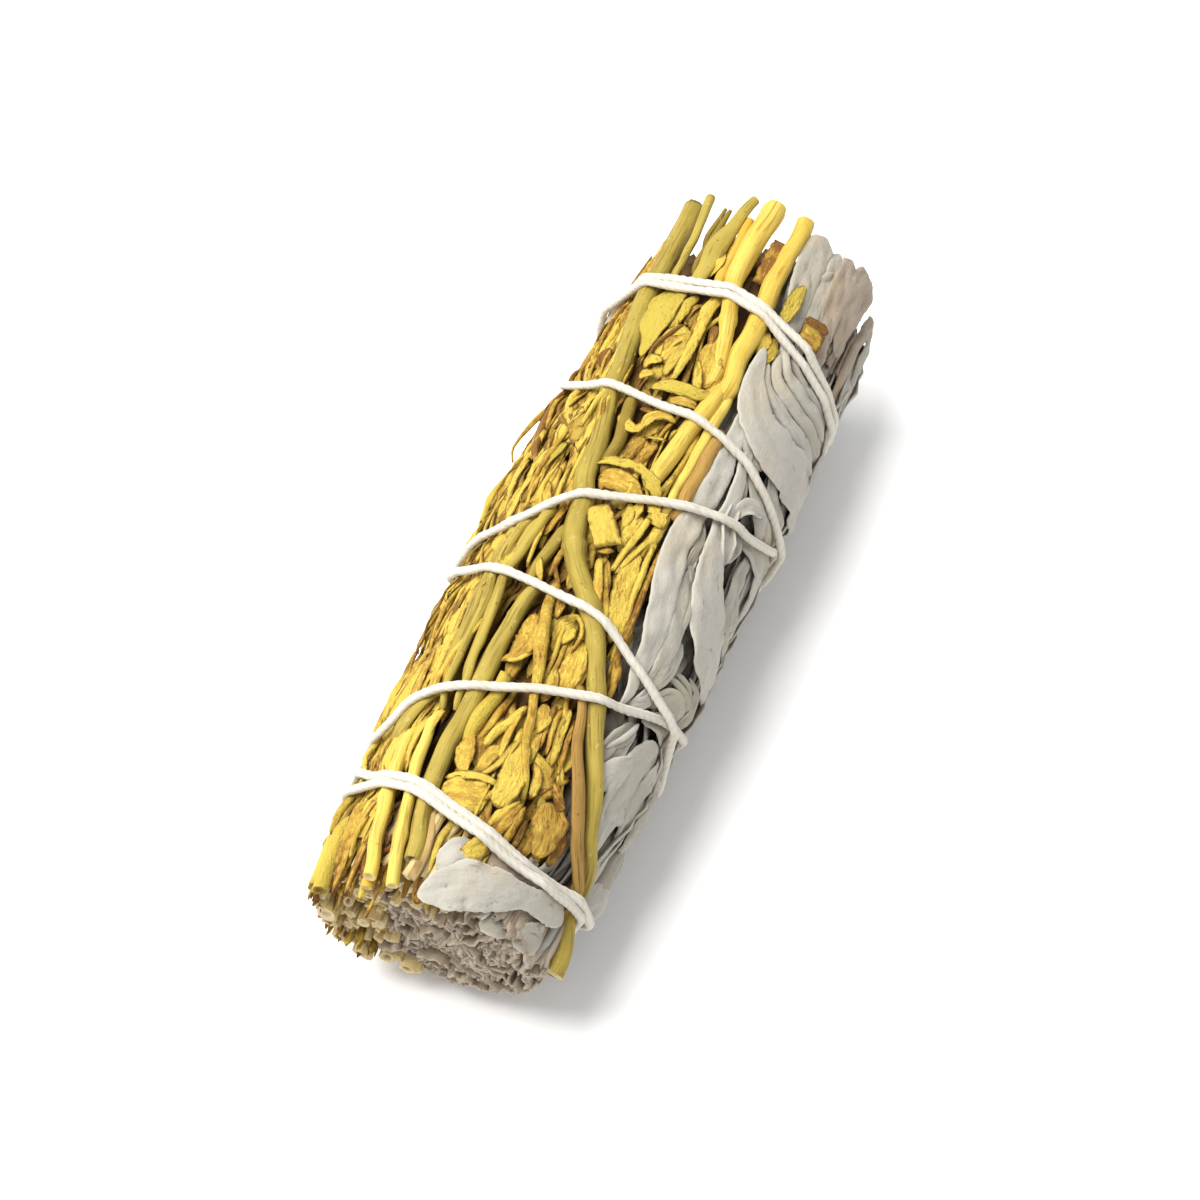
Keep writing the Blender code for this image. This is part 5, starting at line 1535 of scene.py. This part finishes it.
@dataclass(frozen=True)
class DriedPetal:
    """Papery petals and bracts."""

    name: str
    dark: Colour
    middle: Colour
    bright: Colour
    green: Colour
    shadow: Colour

    def material(self) -> bpy.types.Material:
        """Makes the finish."""
        bench = Bench(self.name)
        space = bench.space()
        tone = bench.fact("tone")
        streaks = bench.noise(bench.grain(0.35, 2.6), 1.0, 4.0, 0.65)
        blotch = bench.noise(space, 0.35, 3.0).between(0.3, 0.7)
        wrinkles = bench.noise(bench.grain(0.8, 1.7), 1.3, 4.0, 0.7).between(0.3, 0.7)
        hue = bench.noise(bench.grain(0, 0), 1.0, 1.0)
        lean = tone + (streaks.between(0.3, 0.7) - 0.5) * 0.35
        lean = lean + (blotch - 0.5) * 0.35 + (wrinkles - 0.5) * 0.4
        base = bench.ramp(lean, ((0.05, self.dark), (0.35, self.middle), (0.8, self.bright)))
        base = bench.blend(hue.between(0.54, 0.64) * 0.35, base, self.green)
        base = bench.blend(tone.between(1.05, 1.45) * 0.9, base, self.green)
        base = bench.blend((1 - hue).between(0.56, 0.68) * 0.45, base, self.dark)
        # The petals' edges darken towards the shadow brown: partly their own browned edges, partly painted
        # shade.
        edge = bench.fact("rim").between(0.1, 0.8) * bench.noise(space, 0.8, 3.0).between(0.3, 0.5)
        base = bench.blend(edge * 0.75, base, self.shadow)
        # Painted shade in the bottoms of creases and in the hollow cut ends of twigs.
        base = bench.blend(bench.fact("crease").between(0.2, 0.9) * 0.6, base, self.shadow)
        specks = bench.noise(space, 2.6, 2.0).between(0.64, 0.72)
        base = bench.blend(specks * 0.5, base, self.shadow)
        # Painted shade: the deeper a point lies, the nearer the shadow colour.
        base = bench.blend(bench.fact("depth").between(0.5, 2.2) * 0.85, base, self.shadow)
        height = streaks * 0.7 + wrinkles * 0.7 + bench.noise(space, 3.0, 3.0) * 0.5
        return bench.close(
            {
                "Base Color": base, "Roughness": 0.6 + streaks * 0.3, "Specular IOR Level": 0.22,
                "Normal": bench.bump(height, 0.8, 0.26),
            }
        )


@dataclass(frozen=True)
class StemRind:
    """The rind of a stem or twig, with its cut ends."""

    name: str
    dull: Colour
    clear: Colour
    shadow: Colour
    pith: Colour
    roughness: float

    def material(self) -> bpy.types.Material:
        """Makes the finish."""
        bench = Bench(self.name)
        space = bench.space()
        lines = bench.noise(bench.grain(0.14, 2.6), 1.0, 4.0, 0.62)
        patch = bench.noise(bench.grain(0.22, 0.5), 1.0, 3.0)
        lean = bench.fact("tone") + (lines - 0.5) * 0.6 + (patch - 0.5) * 0.8
        base = bench.blend(lean.between(0.1, 0.9), self.dull, self.clear)
        base = bench.blend((1 - lines).between(0.52, 0.68) * 0.55, base, self.shadow)
        # Painted glints: small pale flecks in the pith colour.
        painted_glints = bench.noise(space, 1.1, 3.0).between(0.66, 0.70)
        base = bench.blend(painted_glints * 0.45, base, self.pith)
        marks = bench.noise(space, 1.7, 2.0).between(0.68, 0.74)
        base = bench.blend(marks * 0.6, base, self.shadow)
        base = bench.blend(bench.fact("rim").between(0.2, 0.8), base, self.pith)
        # Painted shade in hollows: a hollow stem's hole, a cut's sunken middle and the packing deep inside.
        base = bench.blend(bench.fact("crease").between(0.1, 0.9), base, self.shadow)
        # Painted shade: the deeper a point lies, the nearer the shadow colour.
        base = bench.blend(bench.fact("depth").between(1.4, 3.2) * 0.8, base, self.shadow)
        height = lines + bench.noise(space, 2.0, 3.0) * 0.3
        return bench.close(
            {
                "Base Color": base, "Roughness": self.roughness + lines * 0.25, "Specular IOR Level": 0.28,
                "Normal": bench.bump(height, 0.65, 0.15),
            }
        )


@dataclass(frozen=True)
class CottonTwine:
    """Soft twisted cotton."""

    name: str
    clean: Colour
    shaded_and_soiled: Colour

    def material(self) -> bpy.types.Material:
        """Makes the finish."""
        bench = Bench(self.name)
        space = bench.space()
        strands = bench.noise(bench.grain(0.7, 7.0), 1.0, 3.0, 0.6)
        # Random soiling, and painted shade in the grooves between the plies.
        groove_shade_and_soil = bench.noise(space, 0.3, 3.0).between(0.5, 0.8) * 0.4 + bench.fact("crease") * 0.45
        base = bench.blend(groove_shade_and_soil, self.clean, self.shaded_and_soiled)
        return bench.close(
            {
                "Base Color": base, "Roughness": 0.95, "Specular IOR Level": 0.15, "Sheen Weight": 0.25,
                "Sheen Roughness": 0.5, "Normal": bench.bump(strands, 0.7, 0.12),
            }
        )


class Finishes:
    """Every finish on the stick."""

    def __init__(self) -> None:
        """Makes them all."""
        # Each sage finish: pale, deep and warm tones, the painted shadow colour, and a rim colour for the
        # edges' painted highlight and the felt's pale hairs.
        sages = {
            "sage_felt": ((201, 196, 184), (179, 172, 155), (198, 185, 158), (88, 78, 60), (224, 219, 205)),
            "brown_sage_felt": (
                (186, 169, 149), (164, 144, 124), (178, 154, 122), (82, 66, 48), (204, 191, 172),
            ),
            "cut_sage": ((192, 173, 150), (158, 138, 115), (170, 147, 114), (64, 47, 30), (210, 196, 174)),
        }
        self.sage, self.brown_sage, self.cut_sage = (
            SageFelt(name, *(paint(*colour) for colour in colours)).material()
            for name, colours in sages.items()
        )
        # The petals' dark, middle, bright and green tones, and a shadow brown for painted shade, browned
        # edges and specks.
        self.petal = DriedPetal(
            "dried_petal", paint(152, 106, 48), paint(212, 168, 70), paint(244, 212, 92),
            paint(184, 170, 66), paint(116, 78, 30),
        ).material()
        # Each rind: dull and clear tones, the painted shadow colour that also serves its own dark streaks and
        # marks, the pith colour of its cuts and painted glints, and its roughness.
        colours = {
            Rind.YELLOW: ((226, 184, 70), (244, 215, 102), (150, 108, 38), (236, 210, 140), 0.55),
            Rind.OLIVE: ((150, 126, 46), (196, 173, 78), (98, 76, 30), (222, 206, 148), 0.55),
            Rind.STRAW: ((190, 157, 98), (232, 208, 144), (108, 79, 46), (226, 206, 162), 0.7),
            Rind.BROWN: ((138, 102, 50), (192, 152, 80), (72, 48, 22), (190, 160, 112), 0.75),
        }
        self.rinds = {
            rind: StemRind(f"{rind.value}_rind", *(paint(*colour) for colour in four), roughness).material()
            for rind, (*four, roughness) in colours.items()
        }
        # Clean cotton, and the colour of its soiling and of the painted shade in its grooves.
        self.cotton = CottonTwine("cotton", paint(244, 238, 224), paint(214, 200, 168)).material()


# ---- the stems


@dataclass
class Stems:
    """The stems that lie in the outer layer, one piece for each."""

    skin: Skin
    finishes: Finishes
    seed: int = 100

    def build(self) -> list[Heap]:
        """Makes every stem, and returns their heaps for the string to lie on."""
        heaps = []
        for number, (heading, stalks) in enumerate(STEMS.items()):
            node, rind = heading.split()
            heap = Heap(self.skin, self.seed + number)
            for item in stalks:
                item.lay(heap)
            heap.finish(f"{node}_stalks", self.finishes.rinds[Rind[rind]], [node])
            heaps.append(heap)
        return heaps


# ---- the flower heads


@dataclass(frozen=True)
class Litter:
    """Petals, straws and twigs strewn over an area.

    The area is given by its x from and to and its turn from and to, and heights says between
    which heights the pieces lie. The counts are for every hundred square millimetres.
    """

    area: Area
    heights: tuple[float, float]
    petals: float = 0.0
    straws: float = 0.0
    twigs: float = 0.0
    lean: float = 24.0
    widest: float = 2.6
    longest: float = 8.0
    straw_widths: tuple[float, float] = (0.45, 1.3)
    tone: float = 0.66
    browner_before: float = -43.0

    def strew(self, heap: Heap, press: "Press") -> None:
        """Adds all of it to a heap, pressed in under the string."""
        x0, x1, t0, t1 = self.area
        hundreds = (x1 - x0) * math.radians(t1 - t0) * ROLL / 100
        for count, add in ((self.petals, self.petal), (self.straws, self.straw), (self.twigs, self.twig)):
            for _ in range(round(count * hundreds)):
                x, turn = heap.dice.uniform(x0, x1), heap.dice.uniform(t0, t1)
                add(heap, x, turn, heap.dice.uniform(*self.heights)).lay(heap, press)

    def run(self, heap: Heap, x: float, turn: float, height: float, long: float, lean: float) -> Line:
        """A line of a given length through a place, straying from the stick's own direction.

        Args:
            heap: the piece, for its random numbers.
            x: the place along the stick.
            turn: the place round it.
            height: its height.
            long: the line's length, in millimetres.
            lean: how far it strays, in degrees.

        Returns:
            Its first, middle and last points.
        """
        heading = math.radians(heap.dice.normal(0, lean))
        first, last, inset = *self.area[:2], long * 0.35
        if long < last - first:
            x = min(max(x, first + inset), last - inset)
        dx = math.cos(heading) * long / 2
        dt = math.degrees(math.sin(heading) * long / 2 / ROLL)
        bow = heap.dice.normal(0, 0.06) * long
        sink = heap.dice.uniform(-0.5, 0.2, 2)
        return (
            (x - dx, turn - dt, height + sink[0]), (x, turn + bow, height + 0.2),
            (x + dx, turn + dt, height + sink[1]),
        )

    def petal(self, heap: Heap, x: float, turn: float, height: float) -> Blade:
        """One petal: long, pointed and creased lengthwise."""
        dice = heap.dice
        long = dice.uniform(0.45, 1.0) * self.longest
        width = min(dice.uniform(0.25, 0.5) * long, self.widest)
        kinds = (
            Bend.FLAT, Bend.TROUGH, Bend.PLEATED, Bend.EDGES_UNDER, Bend.EDGES_UP, Bend.SHARP_RIDGE,
            Bend.SHARP_VALLEY,
        )
        return petal(
            self.run(heap, x, turn, height, long, self.lean),
            (width * dice.uniform(0.1, 0.4), width * 0.8, width, width * dice.uniform(0.1, 0.3)),
            float(np.clip(dice.normal(self.tone - 0.08, 0.26), -0.1, 1.0)),
            kinds[int(dice.integers(len(kinds)))], tilt=(dice.normal(0, 16),),
            folded=(dice.uniform(0.35, 0.9),), crumple=0.18, ragged=0.04, step=0.62, columns=9, droop=0.0,
            twist=11,
        )

    def straw(self, heap: Heap, x: float, turn: float, height: float) -> Blade:
        """One straw: a long narrow strip of leaf or rind, nearly flat, and browner at the near end."""
        dice = heap.dice
        long = dice.uniform(4, 16)
        width = dice.uniform(*self.straw_widths) * (1.7 if dice.random() < 0.12 else 1)
        tone = self.tone - (0.3 if x < self.browner_before else 0.0)
        line = self.run(heap, x, turn, height, long, self.lean * 0.42)
        near, far, tip = (dice.uniform(*share) for share in ((0.4, 0.9), (0.8, 1), (0.3, 0.8)))
        return petal(
            line, (width * near, width, width * far, width * tip),
            float(np.clip(dice.normal(tone, 0.28), -0.05, 1.0)),
            (Bend.GUTTER, Bend.RIDGE, Bend.ZIGZAG, Bend.FLAT)[int(dice.integers(4))],
            tilt=(dice.normal(0, 10),), folded=(dice.uniform(0.4, 1.1),), thick=0.24, crease=0.07,
            crumple=0.1, step=0.8, columns=8, droop=0.0,
        )

    def twig(self, heap: Heap, x: float, turn: float, height: float) -> Stalk:
        """One thin twig or bit of stalk."""
        dice = heap.dice
        radius = dice.uniform(0.15, 0.5)
        return Stalk(
            self.run(heap, x, turn, height, dice.uniform(3, 14), self.lean * 0.5),
            (radius * 0.8, radius, radius * 0.7), Cut.TORN if dice.random() < 0.5 else Cut.SOLID,
            Cut.SOLID if dice.random() < 0.5 else Cut.TORN,
            tone=float(self.tone + dice.uniform(-0.4, 0.35)), height=0.0, sides=7, step=1.0, ridges=3,
        )


# Fine bits that fill some of the heads.
FIBRES = {
    # The near end's fibres take a low tone: partly browner, partly darkened as painted shade for the deep
    # gaps there.
    "ridge_flowers_1": Litter(
        (-50.8, -43.5, -64, -28), (-1.9, 0), petals=16, twigs=22, lean=50, widest=1.1, longest=4, tone=-0.1
    ),
    "flower_head_near": Litter(
        (-50.5, -45, -28, 8), (-2.4, -1.2), petals=12, twigs=14, lean=55, widest=0.9, longest=3, tone=0.05
    ),
    "ridge_flowers_3": Litter(
        (-20, 3, -31, -7), (-2.7, -1.3), petals=14, straws=10, twigs=6, lean=22, widest=2.2, longest=7,
        tone=0.25,
    ),
}


@dataclass
class FlowerHeads:
    """The crumpled yellow heads, one piece for each."""

    skin: Skin
    finishes: Finishes
    press: Press
    seed: int = 200
    ridge: float = -20.0
    keep: tuple[tuple[str, float], ...] = (("back", 0.24), ("ridge", 0.46))
    keep_heads: float = 0.58
    fibres: dict[str, Litter] = field(default_factory=lambda: FIBRES)

    def ridge_litters(self, area: Area) -> list[Litter]:
        """What is strewn over an area of the ridge, which is high in its middle and low at its far end."""
        strewn = []
        for start, end, back, front in ((-52, -7, 0.4, 0.0), (-7, 21, 0.8, 0.1), (21, 48, -0.6, -0.6)):
            part = (max(area[0], start), min(area[1], end), *area[2:])
            if part[0] >= part[1]:
                continue
            lift = back if area[3] < -61 else front
            low = min(lift, 0)
            strewn += [
                Litter(part, (-2.4 + low, -1.1 + low), 8, 18, 3, lean=15),
                Litter(part, (-1 + low, -0.2 + lift), 3, 22, 6, lean=14, widest=1.7, longest=7),
                Litter(part, (-0.4 + low, 0.4 + lift), 1.2, 9, 4, lean=13, widest=1.5, longest=5),
                Litter(part, (-0.2 + low, 0.5 + lift), 0, 3, 0, lean=16, straw_widths=(1.2, 2.2), tone=0.85),
                Litter(part, (0.1 + low, 0.8 + lift), 1, 1.5, 2.5, lean=30, widest=0.9, longest=2.2),
            ]
        return strewn

    def litters(self, area: Area) -> Sequence[Litter]:
        """What is strewn under and between the petals of an area."""
        if area[3] <= self.ridge:
            return self.ridge_litters(area)
        return (
            Litter(area, (-3, -1.8), 14, 8, 3), Litter(area, (-1.8, -0.8), 12, 7, 3, lean=20),
            Litter(area, (-0.9, -0.4), 2, 0, 1.5, lean=30, widest=1, longest=2.5),
        )

    def build(self) -> list[Heap]:
        """Makes every head, and returns their heaps for the string to lie on."""
        heaps = []
        for number, (node, area) in enumerate(HEADS.items()):
            heap = Heap(self.skin, self.seed + number)
            for item in (*PETALS.get(node, ()), *TWIGS.get(node, ())):
                item.lay(heap, self.press)
            for litter in self.litters(area):
                litter.strew(heap, self.press)
            if node in self.fibres:
                self.fibres[node].strew(heap, self.press)
            keep = next((share for part, share in self.keep if part in node), self.keep_heads)
            heap.finish(f"{node}_petals", self.finishes.petal, [node], keep)
            heaps.append(heap)
        return heaps


# ---- the sage leaves


@dataclass
class SageLeaves:
    """The sage of the outer layer, one piece for each leaf or group."""

    skin: Skin
    finishes: Finishes
    press: Press
    seed: int = 300
    hidden_seed: int = 340
    bed_heights: tuple[float, ...] = (-3.0, -2.3)
    keep_single: float = 0.8
    keep_bedded: float = 0.45
    keep_hidden: float = 0.25

    def overlapping_leaves(
        self, heap: Heap, area: Sequence[float], heights: Sequence[float] = (-1.5, -0.9, -0.35)
    ) -> None:
        """Covers an area with long leaves that lie over one another.

        Args:
            heap: the piece that they belong to.
            area: its x from and to, and its turn from and to.
            heights: how high each layer of them lies.
        """
        dice = heap.dice
        x0, x1, t0, t1 = area
        for height in heights:
            x = x0 - dice.uniform(0, 6)
            while x < x1 - 4:
                long = min(dice.uniform(16, 30), x1 - x + 1.5)
                for turn in np.arange(t0 + 4, t1 + 2, 11.5):
                    at = turn + dice.normal(0, 2.5)
                    drift = dice.normal(0, 6)
                    slide = dice.uniform(-4, 4)
                    width = dice.uniform(3.4, 5.6)
                    middle = x + slide + long / 2
                    start = max(x + slide, x0 - 0.5)
                    end = min(x + slide + long, x1 + 0.8)
                    if end - start < 5:
                        continue
                    bends = (Bend.EDGES_UNDER, Bend.ROLLED, Bend.PLEATED, Bend.FOLDED)[int(dice.integers(4))]
                    line = (
                        (start, at - drift, height - 0.5),
                        ((start + middle) / 2, at - drift / 2, height),
                        (min(middle, end - 2), at, height + 0.15),
                        (end, at + drift, height - 0.6),
                    )
                    leaf(
                        line, (width * 0.35, width * 0.85, width, width * 0.25),
                        float(dice.uniform(-0.1, 0.9)), bends, folded=(dice.uniform(0.4, 0.9),), step=0.9,
                        columns=14, droop=0.0,
                    ).lay(heap, self.press)
                x += long * 0.62

    def build(self) -> list[Heap]:
        """Makes every leaf, and returns their heaps for the string to lie on."""
        heaps = []
        for number, (node, blades) in enumerate((SAGE | BROWN_SAGE).items()):
            brown = node in BROWN_SAGE
            material = self.finishes.brown_sage if brown else self.finishes.sage
            heap = Heap(self.skin, self.seed + number)
            for blade in blades:
                blade.lay(heap, self.press)
            if node in BEDS:
                self.overlapping_leaves(heap, BEDS[node], self.bed_heights)
            keep = self.keep_bedded if node in BEDS else self.keep_single
            heap.finish(f"{node}_blades", material, [node], keep)
            heaps.append(heap)
        for number, (node, area) in enumerate(HIDDEN_ROWS.items()):
            heap = Heap(self.skin, self.hidden_seed + number)
            self.overlapping_leaves(heap, area)
            heap.finish(f"{node}_blades", self.finishes.sage, [node], self.keep_hidden)
            heaps.append(heap)
        return heaps


# ---- the inside and both ends


@dataclass
class PackedMiddle:
    """The sprigs and bunches inside the stick, whose cut edges and ends show at both ends."""

    skin: Skin
    finishes: Finishes
    near_face: float = -50.2
    far_face: float = 47.2
    depth: float = 7.0
    seed: int = 400
    stalk_count: int = 88
    edge_count: int = 68
    keep_stalks: float = 0.42
    keep_edges: float = 0.45

    def face(self, end: int, y: np.ndarray, z: np.ndarray) -> np.ndarray:
        """How far along the stick an end's domed face is, at places from the axis."""
        out = np.hypot(y, z)
        if end < 0:
            return self.near_face + 0.006 * out**2 + np.maximum(-z - 5, 0) * 0.12
        return self.far_face - 0.005 * out**2

    def packing(self, heap: Heap, sector: Sequence[float]) -> None:
        """Adds the close-packed litter that fills a sector from end to end, painted dark as the shade deep in
        the gaps.
        """
        t0, t1, r0, r1 = sector
        x = np.concatenate([np.linspace(-47.2, -38, 8), np.linspace(-34, 34, 16), np.linspace(37, 44.6, 6)])
        turns = np.radians(np.linspace(t0, t1, max(8, int((t1 - t0) / 5))))
        if r0 == 0:
            turns = np.linspace(0, 2 * math.pi, 16, endpoint=False)
        layers = []
        for reach in (r1, r0):
            grid = np.empty((len(x), len(turns), 3))
            limit = self.skin.radius(x[:, None], turns[None]) - 2.7
            radius = np.minimum(limit, reach + 2.4) if reach == r1 and r0 > 0 else np.full(limit.shape, reach)
            grid[..., 0] = x[:, None]
            grid[..., 1] = -radius * np.sin(turns)
            grid[..., 2] = radius * np.cos(turns)
            grid += 0.35 * swell(grid, 3.0, 9)[..., None] * np.array([0.5, 1, 1])
            layers.append(grid)
        if r0 == 0:
            rings = self.skin.at_axis(layers[0][:, ::-1])
            grain = np.zeros((*rings.shape[:2], 3))
            # Crease 1: the centre sprig is painted in the shadow colour all over.
            heap.rings(rings, 1.0, grain=grain, rim=np.zeros((1, 1)), crease=np.ones((1, 1)))
            return
        middle = self.skin.at_axis((layers[0] + layers[1]) / 2)
        thick = np.linalg.norm(layers[0] - layers[1], axis=-1)
        # Tone and crease 1: the packing is painted in the shadow colour, as the shade in the gaps.
        heap.sheet(middle, thick, 1.0, 1.0)

    def leaf_edges(self, heap: Heap, end: int, sector: Sequence[float], count: int) -> None:
        """Adds pressed leaves that run into the stick from one end.

        Args:
            heap: the piece that they belong to.
            end: -1 for the near end, 1 for the far one.
            sector: the turns and radii between which they lie.
            count: how many there are.
        """
        dice = heap.dice
        bulge = 1.4 if end < 0 and sector[0] >= 90 else 0.0
        for _ in range(count):
            turn = math.radians(dice.uniform(sector[0], sector[1]))
            reach = math.sqrt(dice.uniform((sector[2] / sector[3]) ** 2, 1)) * (sector[3] + bulge)
            heading = turn + math.pi / 2 + dice.normal(0, 0.35)
            long = dice.uniform(2.5, 7.0)
            s = np.linspace(-0.5, 0.5, 15)
            bend = dice.normal(0, 1.6)
            wave = dice.uniform(0.15, 0.5) * np.sin(s * dice.uniform(6, 22) + dice.uniform(0, 6))
            angle = heading + bend * s + wave * 2
            ds = long / 14
            y = np.cumsum(np.sin(angle)) * ds
            z = np.cumsum(np.cos(angle)) * ds
            y = y - y.mean() - reach * math.sin(turn)
            z = z - z.mean() + reach * math.cos(turn)
            rim = np.hypot(y, z)
            most = self.skin.radius(np.full(15, -49.0 if end < 0 else 46.5), np.arctan2(-y, z)) - 0.7 + bulge
            shrink = np.minimum(1, most / np.maximum(rim, 0.1))
            y, z = y * shrink, z * shrink
            inward = np.array([0, 0.35, 0.9, 2.2, self.depth])[:, None]
            jag = dice.normal(0, 0.16, 15)
            out = self.face(end, y, z) + end * (dice.normal(0, 0.5) + jag)
            grid = np.empty((5, 15, 3))
            grid[..., 0] = out - end * inward
            grid[..., 1] = y + 0.12 * np.sin(inward * 2 + dice.uniform(0, 6))
            grid[..., 2] = z + 0.12 * np.cos(inward * 2 + dice.uniform(0, 6))
            thick, tone = dice.uniform(0.24, 0.5), dice.uniform(0.0, 1.0)
            heap.sheet(self.skin.at_axis(grid), thick, tone, 0.0, 0.35)

    def stalk_ends(self, heap: Heap, end: int, sector: Sequence[float], count: int) -> None:
        """Adds the cut ends of stalks inside the stick, as leaf_edges does leaves."""
        dice = heap.dice
        for _ in range(count):
            turn = dice.uniform(sector[0], sector[1])
            reach = math.sqrt(dice.uniform((sector[2] / sector[3]) ** 2, 1)) * sector[3]
            radius = dice.uniform(0.25, 0.55) if dice.random() < 0.6 else dice.uniform(0.55, 1.05)
            x = (-50.6 if end < 0 else 47.6) + end * dice.uniform(-1.4, 0.8)
            depth = reach - float(self.skin.radius(np.array(x), np.radians(turn)))
            stray = dice.normal(0, 3.0, 2)
            line = (
                (x, turn, depth), (x - end * 3, turn + stray[0], depth - 0.2),
                (x - end * 9, turn + stray[1], depth - 0.4),
            )
            if end > 0:
                line = line[::-1]
            cut = Cut.HOLLOW if radius > 0.8 and dice.random() < 0.4 else Cut.SOLID
            ends = (cut, Cut.HIDDEN) if end < 0 else (Cut.HIDDEN, cut)
            tone, flat = float(dice.uniform(0.2, 0.9)), dice.uniform(0.45, 1)
            Stalk(line, (radius,), *ends, tone=tone, flat=flat, height=0.0, sides=10, step=1.5).lay(heap)

    def rim_stalks(self, heap: Heap) -> None:
        """Adds the close row of cut stalks round the lower rim of the near end."""
        for number, turn in enumerate(np.arange(-168, -84, 4.6)):
            sway = math.sin(number * 2.1)
            x = (-50.4 if turn < -145 else -51.6) - 0.5 * sway
            depth = (-1.7 if turn < -145 else -0.2) + 0.4 * math.cos(number * 1.3)
            line = ((x, turn, depth), (x + 4, turn + 1, depth - 0.3), (x + 10, turn, depth - 1.0))
            Stalk(
                line, (0.78 + 0.25 * sway,), Cut.HOLLOW if number % 3 == 1 else Cut.SOLID,
                tone=0.6 + 0.3 * sway, flat=0.8, height=0.0, sides=12,
            ).lay(heap)

    def build(self) -> list[Heap]:
        """Makes the inside and both ends."""
        heaps = []
        for number, (node, sector) in enumerate(SECTORS.items()):
            heap = Heap(self.skin, self.seed + number)
            self.packing(heap, sector)
            stalky = "stalks" in node
            for end in (-1, 1):
                if stalky:
                    self.stalk_ends(heap, end, sector, self.stalk_count)
                else:
                    self.leaf_edges(heap, end, sector, self.edge_count)
            if node == "inner_stalks_1":
                self.rim_stalks(heap)
            if stalky:
                straw = self.finishes.rinds[Rind.STRAW]
                heap.finish(f"{node}_ends", straw, [node], self.keep_stalks)
            else:
                heap.finish(f"{node}_edges", self.finishes.cut_sage, [node], self.keep_edges)
            heaps.append(heap)
        return heaps


# ---- the studio


@dataclass
class Studio:
    """The floor, the lights and the camera."""

    skin: Skin
    azimuth: float = -66.27
    elevation: float = 56.0
    distance: float = 343.4
    aside: float = -1.17
    above: float = -0.96
    lens: float = 85.0
    key_power: float = 9.9
    key_size: float = 0.55
    key_place: tuple[float, float, float] = (-0.10, 0.30, 0.72)
    ambient: float = 0.66

    def build(self) -> None:
        """Sets everything up round the stick."""
        self.add_floor()
        self.add_light()
        self.add_camera()

    def add_floor(self) -> None:
        """A plain white floor."""
        half = 1.5
        mesh = bpy.data.meshes.new("floor")
        corners = [(-half, -half, 0), (half, -half, 0), (half, half, 0), (-half, half, 0)]
        mesh.from_pydata(corners, [], [(0, 1, 2, 3)])
        white = {"Base Color": (0.97, 0.97, 0.97, 1), "Roughness": 0.9, "Specular IOR Level": 0.1}
        mesh.materials.append(Bench("floor_white").close(white))
        floor = bpy.data.objects.new("floor", mesh)
        bpy.context.scene.collection.objects.link(floor)

    def add_light(self) -> None:
        """A wide soft light high on the left, and an even white room."""
        lamp = bpy.data.lights.new("key", "AREA")
        lamp.shape = "DISK"
        lamp.size = self.key_size
        lamp.energy = self.key_power
        lamp.color = (1.0, 0.985, 0.96)
        light = bpy.data.objects.new("key", lamp)
        target = Vector(self.skin.axis) * MM
        light.location = target + Vector(self.key_place)
        light.rotation_euler = (target - light.location).to_track_quat("-Z", "Y").to_euler()
        bpy.context.scene.collection.objects.link(light)
        world = bpy.data.worlds.new("room")
        world.use_nodes = True
        backdrop = world.node_tree.nodes["Background"]
        backdrop.inputs["Color"].default_value = (0.97, 0.98, 1.0, 1.0)
        backdrop.inputs["Strength"].default_value = self.ambient
        bpy.context.scene.world = world
        bpy.context.scene.view_settings.view_transform = "Standard"

    def add_camera(self) -> None:
        """The camera, looking down on the near end."""
        a, e = math.radians(self.azimuth), math.radians(self.elevation)
        back = Vector((math.sin(a) * math.cos(e), -math.cos(a) * math.cos(e), math.sin(e)))
        right = Vector((math.cos(a), math.sin(a), 0))
        up = back.cross(right)
        target = Vector(self.skin.axis) + right * self.aside + up * self.above
        data = bpy.data.cameras.new("camera")
        data.lens = self.lens
        data.sensor_width = 36.0
        camera = bpy.data.objects.new("camera", data)
        camera.location = (target + back * self.distance) * MM
        camera.rotation_mode = "QUATERNION"
        camera.rotation_quaternion = (-back).to_track_quat("-Z", "Y")
        bpy.context.scene.collection.objects.link(camera)
        bpy.context.scene.camera = camera


def main() -> None:
    """Builds the stick, its studio, and writes how large it is."""
    logging.basicConfig(level=logging.INFO, format="%(message)s")
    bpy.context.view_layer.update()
    skin = Skin.in_frame()
    Studio(skin).build()
    finishes = Finishes()
    route = Route()
    heaps = Stems(skin, finishes).build()
    press = Press(route)
    heaps += FlowerHeads(skin, finishes, press).build()
    heaps += SageLeaves(skin, finishes, press).build()
    heaps += PackedMiddle(skin, finishes).build()
    Binding(skin, route).build(heaps, finishes.cotton)
    bpy.context.view_layer.update()


if __name__ == "__main__":
    main()
